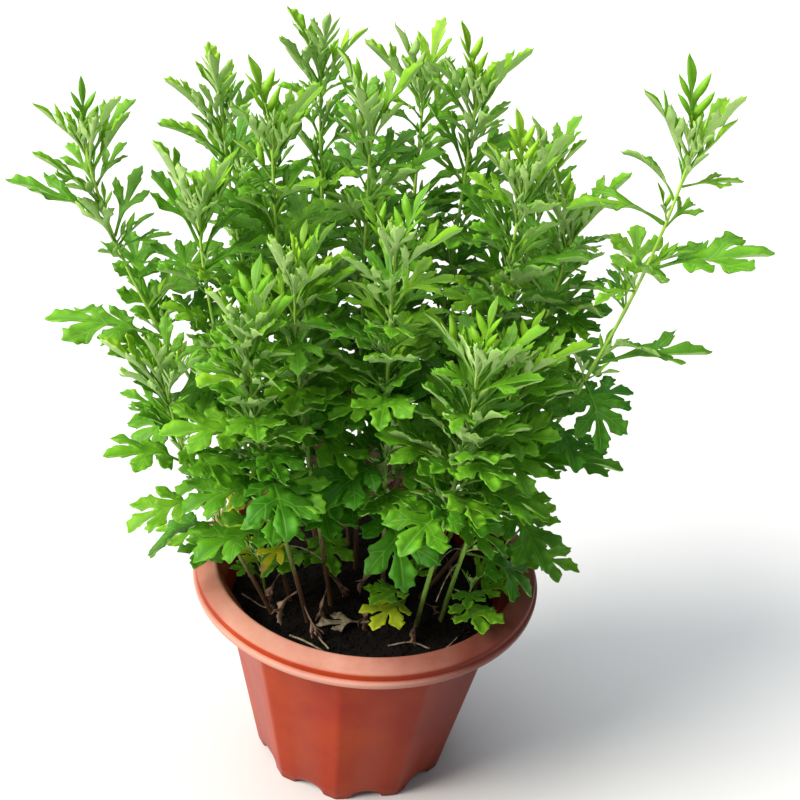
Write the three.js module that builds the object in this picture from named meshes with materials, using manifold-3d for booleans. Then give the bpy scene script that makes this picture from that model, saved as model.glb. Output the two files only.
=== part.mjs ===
// A potted mugwort: a ten-sided plastic pot with a stepped rim, its soil, the leafy stems that stand in it,
// the short shoots at their feet and one withered leaf on the soil. Millimetres, +Z up, origin at the pot's foot.
import * as THREE from "three";
import { mergeVertices } from "three/addons/utils/BufferGeometryUtils.js";
import Module from "manifold-3d";

const wasm = await Module();
wasm.setup();

// Pot: ten flat sides, whose radii are at the creases between them, under a round rim
const POT_HEIGHT = 165;
const FOOT_RADIUS = 70.5;
const BODY_TOP_RADIUS = 104.5;
const MOUTH_RADIUS = 104;
const RIM_RADIUS = 120.5;
const RIM_DEPTH = 14;
const BEAD_HEIGHT = 4;
const GROOVE_DEPTH = 2.4;
const LIP_ROUNDING = 1.4;
const WALL = 2.4;
const SIDES = 10;
const RIM_POINTS = 40;
const CREASE_TURN = THREE.MathUtils.degToRad(-5);

// Foot: a disc that stands on the ground, a raised ring with drain holes, and an arch under each side
const FOOT_DISC_RADIUS = 34;
const RING_LIFT = 8;
const FOOT_RING_WIDTH = 6;
const ARCH_HEIGHT = 6;
const ARCH_WIDTH = 24;
const DRAIN_COUNT = 4;
const DRAIN_RADIUS = 4.5;
const DRAIN_CIRCLE_RADIUS = 49;

// Soil
const SOIL_LEVEL = 138;
const SOIL_EDGE_DROP = 4;
const SOIL_GAP = 0.4;
const WITHERED_LEAF = { root: [6, -42], turn: 190, length: 36 };

// Stems
const ROOT_DEPTH = 16;
const STEM_SIDES = 4;
const STEM_STEPS = 5;
const STEM_FOOT_RADIUS = 2.9;
const STEM_TIP_RADIUS = 1.3;
const STEM_GAP = 0.35;

// Leaves: thickness, V fold, and the room that keeps one stem's leaves clear of another's
const LEAF_THICKNESS = 0.8;
const FOLD = 0.3;
const SAMPLE_STEP = 4.5;
const LEAF_CLEARANCE = 7.2;
const STEM_CLEARANCE = 7.6;
const OWN_CLEARANCE = 4;
const GOLDEN_TURN = THREE.MathUtils.degToRad(137.5);

// The tall stems' leaves stay above a slope that rises towards the front, which leaves the soil open there
const OPEN_FROM = 20;
const OPEN_SLOPE = 0.58;

// Leaf outlines as shares of the leaf's length: pairs of points along the rib, and the lobe after each pair,
// which points out and forward
const LEAF_KINDS = {
  broad: {
    core: [[0.22, 0.045], [0.46, 0.1], [0.7, 0.12]],
    lobes: [[0.47, 0.34], [0.76, 0.37]],
  },
  trident: {
    core: [[0.34, 0.055], [0.66, 0.09]],
    lobes: [[0.7, 0.27]],
  },
  lance: {
    core: [[0.5, 0.1]],
    lobes: [],
  },
};

// Tall stems: where each leaves the soil, where its top is, how low it leans out, and its first leaf's turn
const TALL_STEMS = [
  { name: "stem_left_outer", foot: [-14, -10], top: [-187, -10, 456], bow: 0.42, leaves: [
    ["broad", 0.28, 250, 10, 62, 60], ["broad", 0.36, 120, 15, 60, 50], ["broad", 0.44, 215, 5, 60, 55],
    ["broad", 0.59, 184, 18, 74, 25], ["broad", 0.61, 350, 14, 56, 20], ["broad", 0.65, 38, 46, 62, 25],
    ["trident", 0.75, 300, 30, 34, 30], ["trident", 0.78, 5, 28, 34, 20], ["trident", 0.83, 178, 32, 64, 30],
    ["trident", 0.87, 200, 50, 50, 20], ["trident", 0.9, 60, 50, 34, 25],
  ] },
  { name: "stem_right_outer", foot: [40, -8], top: [168, 0, 488], bow: 0.52, leaves: [
    ["broad", 0.24, 285, 5, 60, 60], ["broad", 0.31, 110, 15, 60, 50], ["broad", 0.35, 355, 8, 58, 20],
    ["broad", 0.49, 205, 8, 54, 45], ["broad", 0.52, 262, 0, 52, 65], ["trident", 0.56, 2, 20, 72, 20],
    ["trident", 0.67, 100, 30, 42, 40], ["trident", 0.71, 225, 20, 38, 40], ["broad", 0.75, 358, 24, 76, 20],
    ["trident", 0.84, 183, 34, 62, 60], ["trident", 0.91, 10, 16, 38, 20],
  ] },
  { name: "stem_left_back", foot: [-30, 18], top: [-114, 40, 466], leafCount: 12, turn: 150 },
  { name: "stem_back_left", foot: [-15, 45], top: [-61, 110, 478], leafCount: 11, turn: 170 },
  { name: "stem_left_inner", foot: [-28, 6], top: [-78, 0, 467], leafCount: 12, turn: 20 },
  { name: "stem_centre_back", foot: [-8, 16], top: [-21, 20, 475], leafCount: 12, turn: 60 },
  { name: "stem_back_right", foot: [10, 42], top: [8, 90, 478], leafCount: 11, turn: 100 },
  { name: "stem_right_back", foot: [20, 24], top: [41, 60, 484], leafCount: 11, turn: 10 },
  { name: "stem_right_inner", foot: [34, 6], top: [74, 10, 448], leafCount: 11, turn: 0 },
  { name: "stem_right_middle", foot: [48, 20], top: [111, 40, 410], leafCount: 10, turn: 40 },
  { name: "stem_left_middle", foot: [-50, -26], top: [-118, -20, 424], leafCount: 11, turn: 220, lowest: 0.32 },
  { name: "stem_centre_front", foot: [14, -28], top: [1, -60, 425], leafCount: 11, turn: 300, lowest: 0.34 },
  { name: "stem_front_left", foot: [-22, -26], top: [-56, -48, 398], leafCount: 10, turn: 250, lowest: 0.34 },
  { name: "stem_left_front", foot: [-36, -46], top: [-78, -88, 380], leafCount: 10, turn: 230, lowest: 0.36 },
  { name: "stem_front_right", foot: [38, -40], top: [55, -82, 368], leafCount: 10, turn: 320, lowest: 0.36 },
  { name: "stem_left_low", foot: [-60, -44], top: [-128, -66, 330], leafCount: 7, turn: 130, lowest: 0.42 },
  { name: "stem_right_low", foot: [54, -34], top: [80, -40, 345], leafCount: 8, turn: 300, lowest: 0.3 },
  { name: "stem_rear_left", foot: [-40, 48], top: [-112, 112, 402], leafCount: 10, turn: 120 },
  { name: "stem_rear_right", foot: [38, 50], top: [98, 118, 420], leafCount: 10, turn: 80 },
];

// Short shoots at the feet of the stems, with their few leaves placed one by one
const SHORT_SHOOTS = [
  { name: "shoot_left", foot: [-72, -6], top: [-104, -12, 190], leaves: [
    ["broad", 0.5, 100, 10, 34, 30], ["broad", 0.72, 186, 12, 46, 15], ["broad", 0.85, 218, -4, 48, 25],
  ] },
  { name: "shoot_front_left", foot: [-66, -26], top: [-70, -34, 178], leaves: [
    ["broad", 0.6, 250, 2, 34, 50], ["broad", 0.7, 140, 15, 34, 40], ["trident", 0.85, 20, 30, 26, 30],
  ] },
  { name: "shoot_front", foot: [26, -32], top: [30, -38, 178], leaves: [
    ["broad", 0.5, 244, 0, 44, 40], ["broad", 0.7, 190, 15, 40, 40], ["broad", 0.85, 330, 20, 34, 30],
  ] },
  { name: "shoot_front_right", foot: [62, -30], top: [72, -36, 176], leaves: [
    ["broad", 0.5, 284, 8, 50, 30], ["broad", 0.7, 335, 6, 42, 20], ["broad", 0.85, 225, 20, 34, 40],
  ] },
  { name: "shoot_right", foot: [78, 6], top: [98, 4, 200], leaves: [
    ["broad", 0.45, 290, 5, 40, 50], ["broad", 0.65, 345, 8, 54, 25], ["broad", 0.78, 40, 30, 44, 25],
    ["broad", 0.88, 130, 30, 34, 25],
  ] },
  { name: "shoot_rear", foot: [4, 76], top: [14, 100, 190], leaves: [
    ["broad", 0.5, 60, 10, 46, 30], ["broad", 0.7, 130, 10, 44, 25], ["broad", 0.85, 260, 20, 34, 30],
  ] },
];

// How each sort of stem bears its leaves, from the lowest to the highest
const TALL_HABIT = {
  thickness: 1,
  lowest: 0.25,
  highest: 0.9,
  lengths: [62, 52],
  rises: [0.15, 0.85],
  bends: [1.1, 0.45],
  broadBelow: 0.75,
  tuft: ["trident", "lance", "trident", "lance"],
  tuftLength: 48,
  keepsOpen: true,
};
const SHORT_HABIT = { thickness: 0.7, tuft: ["trident", "lance"], tuftLength: 24, keepsOpen: false };

// Ways to swing, lift and shorten a leaf that would cross another stem's foliage, in the order they are tried
const EVASIONS = [
  [0, 0, 1], [24, 0, 1], [-24, 0, 1], [0, 22, 1], [0, -22, 1], [40, 16, 0.95], [-40, 16, 0.95],
  [60, 0, 0.9], [-60, 0, 0.9], [0, 38, 0.9], [30, -24, 0.85], [-30, -24, 0.85], [85, 24, 0.85],
  [-85, 24, 0.85], [120, 10, 0.8], [-120, 10, 0.8], [160, 20, 0.8], [0, 50, 0.75], [60, 40, 0.7],
  [-60, 40, 0.7], [180, 45, 0.7],
];

const COLOURS = {
  pot: { color: 0xb5492f, roughness: 0.5 },
  soil: { color: 0x17110d, roughness: 0.95 },
  foliage: { color: 0x4f9a2c, roughness: 0.65 },
  withered: { color: 0x9a927c, roughness: 0.8 },
};

// A repeatable stream of numbers from 0 to 1
function numberStream(seed) {
  let state = seed >>> 0;
  return () => {
    state = (Math.imul(state, 1664525) + 1013904223) >>> 0;
    return state / 4294967296;
  };
}

function toSolid(geometry) {
  geometry.deleteAttribute("normal");
  geometry.deleteAttribute("uv");
  const merged = mergeVertices(geometry, 1e-4);
  return new wasm.Manifold(
    new wasm.Mesh({
      numProp: 3,
      vertProperties: merged.attributes.position.array,
      triVerts: new Uint32Array(merged.index.array),
    }),
  );
}

function toGeometry(solid) {
  const mesh = solid.getMesh();
  return new THREE.BufferGeometry()
    .setAttribute("position", new THREE.BufferAttribute(mesh.vertProperties, 3))
    .setIndex(new THREE.BufferAttribute(mesh.triVerts, 1));
}

function closedGeometry(points, faces) {
  return new THREE.BufferGeometry()
    .setAttribute("position", new THREE.Float32BufferAttribute(points.flatMap((p) => p.toArray()), 3))
    .setIndex(faces.flat());
}

// Triangles between two rings of points round the axis, each with a first point and a count
function ringBand(lower, upper) {
  const faces = [];
  const steps = [lower, upper].map(({ count }) => (count > 1 ? count : 0));
  let [i, j] = [0, 0];
  while (i < steps[0] || j < steps[1]) {
    const near = lower.first + (i % lower.count);
    const far = upper.first + (j % upper.count);
    if (j >= steps[1] || (i < steps[0] && (i + 1) / steps[0] <= (j + 1) / steps[1])) {
      i += 1;
      faces.push([near, lower.first + (i % lower.count), far]);
    } else {
      j += 1;
      faces.push([near, upper.first + (j % upper.count), far]);
    }
  }
  return faces;
}

// A closed body from a profile of [radius, height, points in the ring], with rings of ten points flat-sided
function ringBody(profile, heightAt = (x, y, height) => height) {
  const points = [];
  const rings = profile.map(([radius, height, count]) => {
    const ring = { first: points.length, count };
    for (let i = 0; i < count; i += 1) {
      const turn = CREASE_TURN + (i * 2 * Math.PI) / count;
      const [x, y] = [radius * Math.sin(turn), -radius * Math.cos(turn)];
      points.push(new THREE.Vector3(x, y, heightAt(x, y, height)));
    }
    return ring;
  });
  return closedGeometry(points, rings.slice(1).flatMap((ring, i) => ringBand(rings[i], ring)));
}

// Radius at the creases of the pot's outer wall at a height
function outerRadius(height) {
  return THREE.MathUtils.mapLinear(height, 0, POT_HEIGHT, FOOT_RADIUS, BODY_TOP_RADIUS);
}

function archCutters() {
  const arch = new THREE.Shape();
  arch.moveTo(-ARCH_WIDTH / 2, -1);
  arch.lineTo(ARCH_WIDTH / 2, -1);
  arch.lineTo(ARCH_WIDTH / 2, 0);
  arch.quadraticCurveTo(ARCH_WIDTH / 3, ARCH_HEIGHT, 0, ARCH_HEIGHT);
  arch.quadraticCurveTo(-ARCH_WIDTH / 3, ARCH_HEIGHT, -ARCH_WIDTH / 2, 0);
  const depth = 4 * FOOT_RING_WIDTH;
  const cutter = new THREE.ExtrudeGeometry(arch, { depth, bevelEnabled: false, curveSegments: 2 });
  cutter.rotateX(Math.PI / 2);
  cutter.translate(0, -FOOT_RADIUS + 2 * FOOT_RING_WIDTH, 0);
  return Array.from({ length: SIDES }, (_, side) => {
    const turn = CREASE_TURN + ((side + 0.5) * 2 * Math.PI) / SIDES;
    return toSolid(cutter.clone().rotateZ(turn));
  });
}

function drainCutters() {
  return Array.from({ length: DRAIN_COUNT }, (_, drain) => {
    const hole = new THREE.CylinderGeometry(DRAIN_RADIUS, DRAIN_RADIUS, 4 * WALL, 8);
    hole.rotateX(Math.PI / 2);
    hole.translate(DRAIN_CIRCLE_RADIUS, 0, RING_LIFT + WALL / 2);
    hole.rotateZ((drain * 2 * Math.PI) / DRAIN_COUNT);
    return toSolid(hole);
  });
}

function buildPot() {
  const ringInner = FOOT_DISC_RADIUS + 4;
  const ringOuter = FOOT_RADIUS - FOOT_RING_WIDTH;
  const floorTop = RING_LIFT + WALL;
  const rimFoot = POT_HEIGHT - RIM_DEPTH;
  const sidesTop = rimFoot - WALL;
  const grooveRadius = RIM_RADIUS - GROOVE_DEPTH;
  const skirtRadius = grooveRadius - WALL;
  const profile = [
    [0, 0, 1],
    [FOOT_DISC_RADIUS, 0, SIDES],
    [ringInner, RING_LIFT, SIDES],
    [ringOuter - 2, RING_LIFT, SIDES],
    [ringOuter, 0, SIDES],
    [FOOT_RADIUS, 0, SIDES],
    [outerRadius(sidesTop), sidesTop, SIDES],
    [MOUTH_RADIUS, rimFoot + BEAD_HEIGHT, RIM_POINTS],
    [skirtRadius, rimFoot + BEAD_HEIGHT + WALL, RIM_POINTS],
    [skirtRadius, rimFoot, RIM_POINTS],
    [RIM_RADIUS - 0.6, rimFoot, RIM_POINTS],
    [RIM_RADIUS, rimFoot + BEAD_HEIGHT, RIM_POINTS],
    [grooveRadius, rimFoot + BEAD_HEIGHT + LIP_ROUNDING, RIM_POINTS],
    [grooveRadius + 0.4, POT_HEIGHT - BEAD_HEIGHT, RIM_POINTS],
    [MOUTH_RADIUS + LIP_ROUNDING, POT_HEIGHT, RIM_POINTS],
    [MOUTH_RADIUS - 0.4, POT_HEIGHT - LIP_ROUNDING, RIM_POINTS],
    [outerRadius(sidesTop) - WALL, sidesTop, SIDES],
    [outerRadius(floorTop) - WALL, floorTop, SIDES],
    [ringInner + 2, floorTop, SIDES],
    [FOOT_DISC_RADIUS, WALL, SIDES],
    [0, WALL, 1],
  ];
  const body = toSolid(ringBody(profile));
  return [...archCutters(), ...drainCutters()].reduce((pot, cutter) => pot.subtract(cutter), body);
}

// The soil's uneven top
function soilHeight(x, y) {
  const swell = Math.sin(x * 0.045 + 1.3) * Math.cos(y * 0.05 - 0.4);
  const ripple = Math.sin(x * 0.11 - y * 0.07);
  return SOIL_LEVEL + 2.2 * swell + 0.9 * ripple;
}

function buildSoil(stems) {
  const floorTop = RING_LIFT + WALL + SOIL_GAP;
  const edge = SOIL_LEVEL - SOIL_EDGE_DROP;
  const inner = (height) => outerRadius(height) - WALL - SOIL_GAP / Math.cos(Math.PI / SIDES);
  const profile = [
    [0, WALL + SOIL_GAP, 1],
    [FOOT_DISC_RADIUS - 1, WALL + SOIL_GAP, SIDES],
    [FOOT_DISC_RADIUS + 6, floorTop, SIDES],
    [inner(floorTop), floorTop, SIDES],
    [inner(edge), edge, SIDES],
    [inner(edge) * 0.9, SOIL_LEVEL, 2 * SIDES],
    [inner(edge) * 0.6, SOIL_LEVEL, 2 * SIDES],
    [inner(edge) * 0.3, SOIL_LEVEL, SIDES],
    [0, SOIL_LEVEL, 1],
  ];
  const uneven = (x, y, height) => (height < SOIL_LEVEL ? height : soilHeight(x, y));
  return stems.reduce((soil, stem) => soil.subtract(stem.hole()), toSolid(ringBody(profile, uneven)));
}

// One stem's line: straight in the soil, then a curve that leans out and turns up again
class Stem {
  constructor(place, habit, seed) {
    this.name = place.name;
    this.habit = habit;
    this.place = place;
    this.turn = THREE.MathUtils.degToRad(place.turn ?? 0);
    this.random = numberStream(seed);
    const start = new THREE.Vector3(...place.foot, SOIL_LEVEL + 3);
    const end = new THREE.Vector3(...place.top);
    const span = end.clone().sub(start);
    const bow = place.bow ?? 0.36;
    const low = start.clone().add(new THREE.Vector3(span.x * bow, span.y * bow, span.z / 3));
    const high = end.clone().sub(new THREE.Vector3(span.x * 0.08, span.y * 0.08, span.z / 3));
    this.curve = new THREE.CubicBezierCurve3(start, low, high, end);
    this.length = start.distanceTo(end);
    this.bottom = SOIL_LEVEL - ROOT_DEPTH;
    this.leaves = [];
  }

  // Point on the stem at a share of its height, on the straight stretches between its rings
  point(t) {
    const step = Math.min(Math.floor(t * STEM_STEPS), STEM_STEPS - 1);
    const [below, above] = [step, step + 1].map((ring) => this.curve.getPoint(ring / STEM_STEPS));
    return below.lerp(above, t * STEM_STEPS - step);
  }

  radius(t) {
    return this.habit.thickness * THREE.MathUtils.lerp(STEM_FOOT_RADIUS, STEM_TIP_RADIUS, t);
  }

  // Rings of points up the stem, closed at both ends
  solid() {
    const start = this.point(0);
    const centres = [new THREE.Vector3(start.x, start.y, this.bottom)];
    const radii = [this.radius(0)];
    for (let step = 0; step <= STEM_STEPS; step += 1) {
      centres.push(this.point(step / STEM_STEPS));
      radii.push(this.radius(step / STEM_STEPS));
    }
    const points = [];
    centres.forEach((centre, ring) => {
      for (let side = 0; side < STEM_SIDES; side += 1) {
        const angle = (side * 2 * Math.PI) / STEM_SIDES;
        const offset = new THREE.Vector3(Math.cos(angle), Math.sin(angle), 0).multiplyScalar(radii[ring]);
        points.push(centre.clone().add(offset));
      }
    });
    const faces = [];
    for (let ring = 0; ring + 1 < centres.length; ring += 1) {
      for (let side = 0; side < STEM_SIDES; side += 1) {
        const a = ring * STEM_SIDES + side;
        const b = ring * STEM_SIDES + ((side + 1) % STEM_SIDES);
        faces.push([a, b, b + STEM_SIDES], [a, b + STEM_SIDES, a + STEM_SIDES]);
      }
    }
    const last = (centres.length - 1) * STEM_SIDES;
    for (let side = 1; side + 1 < STEM_SIDES; side += 1) {
      faces.push([0, side + 1, side], [last, last + side, last + side + 1]);
    }
    return toSolid(closedGeometry(points, faces));
  }

  // The plain hole that the stem stands in
  hole() {
    const radius = this.radius(0) + STEM_GAP / Math.cos(Math.PI / STEM_SIDES);
    const height = 2 * ROOT_DEPTH;
    const cutter = new THREE.CylinderGeometry(radius, radius, height, STEM_SIDES);
    cutter.rotateX(Math.PI / 2);
    cutter.rotateZ(Math.PI / 2);
    const start = this.point(0);
    cutter.translate(start.x, start.y, this.bottom - STEM_GAP + height / 2);
    return toSolid(cutter);
  }
}

// A leaf's place and form: from a point, along a direction given by turn and rise, bending down as it goes
class Leaf {
  constructor(kind, root, turn, rise, length, bend, roll) {
    this.kind = kind;
    this.root = root;
    this.length = length;
    this.bend = bend;
    this.along = new THREE.Vector3(
      Math.cos(turn) * Math.cos(rise),
      Math.sin(turn) * Math.cos(rise),
      Math.sin(rise),
    );
    const level = new THREE.Vector3(-Math.sin(turn), Math.cos(turn), 0);
    const upright = this.along.clone().cross(level);
    this.across = level.multiplyScalar(Math.cos(roll)).addScaledVector(upright, Math.sin(roll));
    this.up = this.along.clone().cross(this.across);
  }

  // Point at shares u along and v across the leaf, lifted off its middle surface
  point(u, v, lift = 0) {
    const angle = this.bend * u;
    const forward = (this.length * Math.sin(angle)) / this.bend;
    const drop = (this.length * (1 - Math.cos(angle))) / this.bend;
    const normal = this.up.clone().multiplyScalar(Math.cos(angle)).addScaledVector(this.along, Math.sin(angle));
    return this.root
      .clone()
      .addScaledVector(this.along, forward)
      .addScaledVector(this.up, -drop)
      .addScaledVector(this.across, v * this.length * Math.cos(FOLD))
      .addScaledVector(normal, Math.abs(v) * this.length * Math.sin(FOLD) + lift);
  }

  // Half the leaf's width at a share of its length, over its lobes
  halfWidth(u) {
    const { core, lobes } = LEAF_KINDS[this.kind];
    const reach = [[0, 0.01], core[0], ...lobes, [1, 0.02]];
    const next = Math.max(1, reach.findIndex(([along]) => along >= u));
    return THREE.MathUtils.mapLinear(u, reach[next - 1][0], reach[next][0], reach[next - 1][1], reach[next][1]);
  }

  // Points spread over the blade, for keeping it clear of other foliage
  samples() {
    const found = [];
    const rows = Math.ceil((this.length * 0.9) / SAMPLE_STEP);
    for (let row = 0; row <= rows; row += 1) {
      const u = 0.1 + (0.9 * row) / rows;
      const half = this.halfWidth(u);
      const columns = Math.ceil((2 * half * this.length) / SAMPLE_STEP);
      for (let column = 0; column <= columns; column += 1) {
        found.push({ u, point: this.point(u, half * ((2 * column) / columns - 1)) });
      }
    }
    return found;
  }

  // The blade as a closed body: its root and tip are points, and both faces have the same triangles
  solid() {
    const { core, lobes } = LEAF_KINDS[this.kind];
    const flat = [[0, 0], ...core.flatMap(([u, v]) => [[u, v], [u, -v]])];
    const faces = [[0, 2, 1]];
    lobes.forEach(([u, v], pair) => {
      const [left, right] = [2 * pair + 1, 2 * pair + 2];
      const lobe = flat.push([u, v], [u, -v]) - 2;
      faces.push([right, right + 2, left + 2], [right, left + 2, left]);
      faces.push([left, left + 2, lobe], [right, lobe + 1, right + 2]);
    });
    const tip = flat.push([1, 0]) - 1;
    faces.push([2 * core.length, tip, 2 * core.length - 1]);
    const top = flat.map(([u, v]) => this.point(u, v, LEAF_THICKNESS / 2));
    const under = flat.map(([u, v]) => this.point(u, v, -LEAF_THICKNESS / 2));
    const count = flat.length;
    const edges = new Map();
    faces.forEach((face) => face.forEach((a, i) => edges.set(`${a},${face[(i + 1) % 3]}`, [a, face[(i + 1) % 3]])));
    const rim = [...edges.values()].filter(([a, b]) => !edges.has(`${b},${a}`));
    const closed = [
      ...faces,
      ...faces.map(([a, b, c]) => [a + count, c + count, b + count]),
      ...rim.flatMap(([a, b]) => [[a, a + count, b + count], [a, b + count, b]]),
    ];
    return toSolid(closedGeometry([...top, ...under], closed));
  }
}

// Points of everything placed so far, in cells, so that near ones are found quickly
class Surroundings {
  constructor() {
    this.cells = new Map();
  }

  cell(value) {
    return Math.floor(value / STEM_CLEARANCE);
  }

  add(point, owner, clearance) {
    const key = [this.cell(point.x), this.cell(point.y), this.cell(point.z)].join();
    if (!this.cells.has(key)) {
      this.cells.set(key, []);
    }
    this.cells.get(key).push({ point, owner, clearance });
  }

  // Whether a point of an owner's leaf lies clear of everything else, and of the owner's other leaves
  clear(point, owner, own) {
    const [i, j, k] = [this.cell(point.x), this.cell(point.y), this.cell(point.z)];
    for (let a = i - 1; a <= i + 1; a += 1) {
      for (let b = j - 1; b <= j + 1; b += 1) {
        for (let c = k - 1; c <= k + 1; c += 1) {
          for (const other of this.cells.get([a, b, c].join()) ?? []) {
            const needed = other.owner === owner ? own : other.clearance;
            if (other.point.distanceTo(point) < needed) {
              return false;
            }
          }
        }
      }
    }
    return true;
  }
}

// Whether a point of a stem's leaf is clear of the pot's rim and of the soil, and leaves the front open
function clearOfPot(point, stem) {
  const overRim = Math.hypot(point.x, point.y) > MOUTH_RADIUS - 8;
  const open = stem.habit.keepsOpen ? OPEN_SLOPE * (OPEN_FROM - point.y) : 0;
  return point.z > (overRim ? POT_HEIGHT + 4 : SOIL_LEVEL + 9) && point.z > SOIL_LEVEL + open;
}

function leafClears(leaf, stem, surroundings, own) {
  return leaf
    .samples()
    .every(
      ({ u, point }) =>
        (u < 0.2 || clearOfPot(point, stem)) && surroundings.clear(point, stem.name, u < 0.35 ? 0 : own),
    );
}

// Sets one leaf on its stem, turned aside where it would cross other foliage, or leaves it out
function setLeaf(stem, surroundings, wish, own) {
  const centre = stem.point(wish.t);
  const inset = 0.35 * stem.radius(wish.t);
  for (const [swing, lift, shrink] of EVASIONS) {
    const turn = wish.turn + THREE.MathUtils.degToRad(swing);
    const root = centre.clone().add(new THREE.Vector3(Math.cos(turn), Math.sin(turn), 0).multiplyScalar(inset));
    const rise = Math.min(wish.rise + THREE.MathUtils.degToRad(lift), 1.45);
    const leaf = new Leaf(wish.kind, root, turn, rise, wish.length * shrink, wish.bend, wish.roll);
    if (leafClears(leaf, stem, surroundings, own)) {
      leaf.samples().forEach(({ point }) => surroundings.add(point, stem.name, LEAF_CLEARANCE));
      stem.leaves.push(leaf);
      return;
    }
  }
}

// A leaf chosen by hand: its kind, place on the stem, turn and rise in degrees, length and bend in degrees
function chosenLeaf([kind, t, turn, rise, length, bend]) {
  const [turned, risen, bent] = [turn, rise, bend].map(THREE.MathUtils.degToRad);
  return { kind, t, turn: turned, rise: risen, length, bend: bent, roll: 0 };
}

// Leaves up the stem in a spiral, broad and drooping low down, narrower and steeper above
function spiralLeaf(stem, i) {
  const { habit, place, random } = stem;
  const share = i / (place.leafCount - 1);
  const along = ([from, to]) => THREE.MathUtils.lerp(from, to, share);
  return {
    t: THREE.MathUtils.lerp(place.lowest ?? habit.lowest, habit.highest, share ** 0.85) + (random() - 0.5) * 0.02,
    kind: share < habit.broadBelow ? "broad" : "trident",
    turn: stem.turn + i * GOLDEN_TURN + (random() - 0.5) * 0.5,
    rise: along(habit.rises) + (random() - 0.5) * 0.3,
    length: along(habit.lengths) * (0.9 + 0.2 * random()),
    bend: along(habit.bends) * (0.8 + 0.5 * random()),
    roll: (random() - 0.5) * 0.5,
  };
}

function growLeaves(stem, surroundings) {
  const { leaves, leafCount } = stem.place;
  const wishes = leaves ? leaves.map(chosenLeaf) : Array.from({ length: leafCount }, (_, i) => spiralLeaf(stem, i));
  wishes.forEach((wish) => setLeaf(stem, surroundings, wish, OWN_CLEARANCE));
}

// Young leaves that stand up round the stem's tip
function growTuft(stem, surroundings) {
  const { habit, random } = stem;
  habit.tuft.forEach((kind, i) => {
    const share = i / habit.tuft.length;
    const wish = {
      t: 0.955 + 0.03 * share,
      kind,
      turn: stem.turn + 1 + i * GOLDEN_TURN,
      rise: THREE.MathUtils.lerp(0.85, 1.35, share) + (random() - 0.5) * 0.1,
      length: habit.tuftLength * (0.85 + 0.3 * random()),
      bend: 0.15 + 0.3 * random(),
      roll: (random() - 0.5) * 0.3,
    };
    setLeaf(stem, surroundings, wish, 0);
  });
}

function growPlant() {
  const stems = [
    ...TALL_STEMS.map((place, i) => new Stem(place, TALL_HABIT, 101 + i)),
    ...SHORT_SHOOTS.map((place, i) => new Stem(place, SHORT_HABIT, 501 + i)),
  ];
  const surroundings = new Surroundings();
  stems.forEach((stem) => {
    const steps = Math.ceil(stem.length / 4);
    for (let step = 0; step <= steps; step += 1) {
      surroundings.add(stem.point(step / steps), stem.name, STEM_CLEARANCE);
    }
  });
  stems.forEach((stem) => growTuft(stem, surroundings));
  stems.forEach((stem) => growLeaves(stem, surroundings));
  return stems;
}

// The withered leaf that lies on the soil, let down onto its highest point
function buildWitheredLeaf(soil) {
  const root = new THREE.Vector3(...WITHERED_LEAF.root, SOIL_LEVEL - SOIL_EDGE_DROP);
  const turn = THREE.MathUtils.degToRad(WITHERED_LEAF.turn);
  const leaf = new Leaf("trident", root, turn, 0.02, WITHERED_LEAF.length, 0.2, 0);
  while (!leaf.solid().intersect(soil).isEmpty()) {
    leaf.root.z += 0.1;
  }
  leaf.root.z += SOIL_GAP;
  return leaf.solid();
}

function namedMesh(name, solid, colour) {
  const mesh = new THREE.Mesh(toGeometry(solid), new THREE.MeshStandardMaterial({ ...colour, metalness: 0 }));
  mesh.name = name;
  return mesh;
}

const stems = growPlant();
const soil = buildSoil(stems);
const potted = new THREE.Group();
potted.add(namedMesh("pot", buildPot(), COLOURS.pot));
potted.add(namedMesh("soil", soil, COLOURS.soil));
stems.forEach((stem) => {
  const solid = stem.leaves.reduce((whole, leaf) => whole.add(leaf.solid()), stem.solid());
  potted.add(namedMesh(stem.name, solid, COLOURS.foliage));
});
potted.add(namedMesh("withered_leaf", buildWitheredLeaf(soil), COLOURS.withered));

export default potted;
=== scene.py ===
"""A potted mugwort: its finer shapes and finishes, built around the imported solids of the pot, soil and stems.

Lengths of the plant's growth rule are in millimetres, as on the solids, and are turned into metres when a
mesh is made. Everything else is in metres, +Z up, with the origin at the pot's foot.
"""

import logging
import math
from dataclasses import dataclass, field
from enum import Enum

import bpy
import numpy as np
from bpy.types import Material, Mesh, Node, NodeSocket, NodeTree, Object
from mathutils import Matrix, Vector, noise
from mathutils.geometry import delaunay_2d_cdt


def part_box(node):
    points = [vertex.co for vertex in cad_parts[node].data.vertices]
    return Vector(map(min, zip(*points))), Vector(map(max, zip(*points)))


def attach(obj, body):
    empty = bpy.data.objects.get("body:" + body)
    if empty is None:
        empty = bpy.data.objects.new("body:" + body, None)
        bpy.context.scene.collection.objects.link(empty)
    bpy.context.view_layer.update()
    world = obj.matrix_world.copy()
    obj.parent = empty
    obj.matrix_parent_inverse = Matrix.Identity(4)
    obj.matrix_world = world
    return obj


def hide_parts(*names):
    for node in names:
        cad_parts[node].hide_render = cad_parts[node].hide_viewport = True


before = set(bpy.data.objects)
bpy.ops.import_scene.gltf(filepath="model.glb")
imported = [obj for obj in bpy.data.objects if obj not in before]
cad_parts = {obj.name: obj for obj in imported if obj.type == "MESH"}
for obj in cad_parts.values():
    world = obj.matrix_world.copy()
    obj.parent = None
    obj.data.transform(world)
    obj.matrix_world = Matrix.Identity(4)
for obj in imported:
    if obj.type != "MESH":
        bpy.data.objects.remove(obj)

MM = 0.001
GOLDEN_TURN = math.radians(137.5)

Source = Node | NodeSocket

log = logging.getLogger("mugwort")


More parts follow.
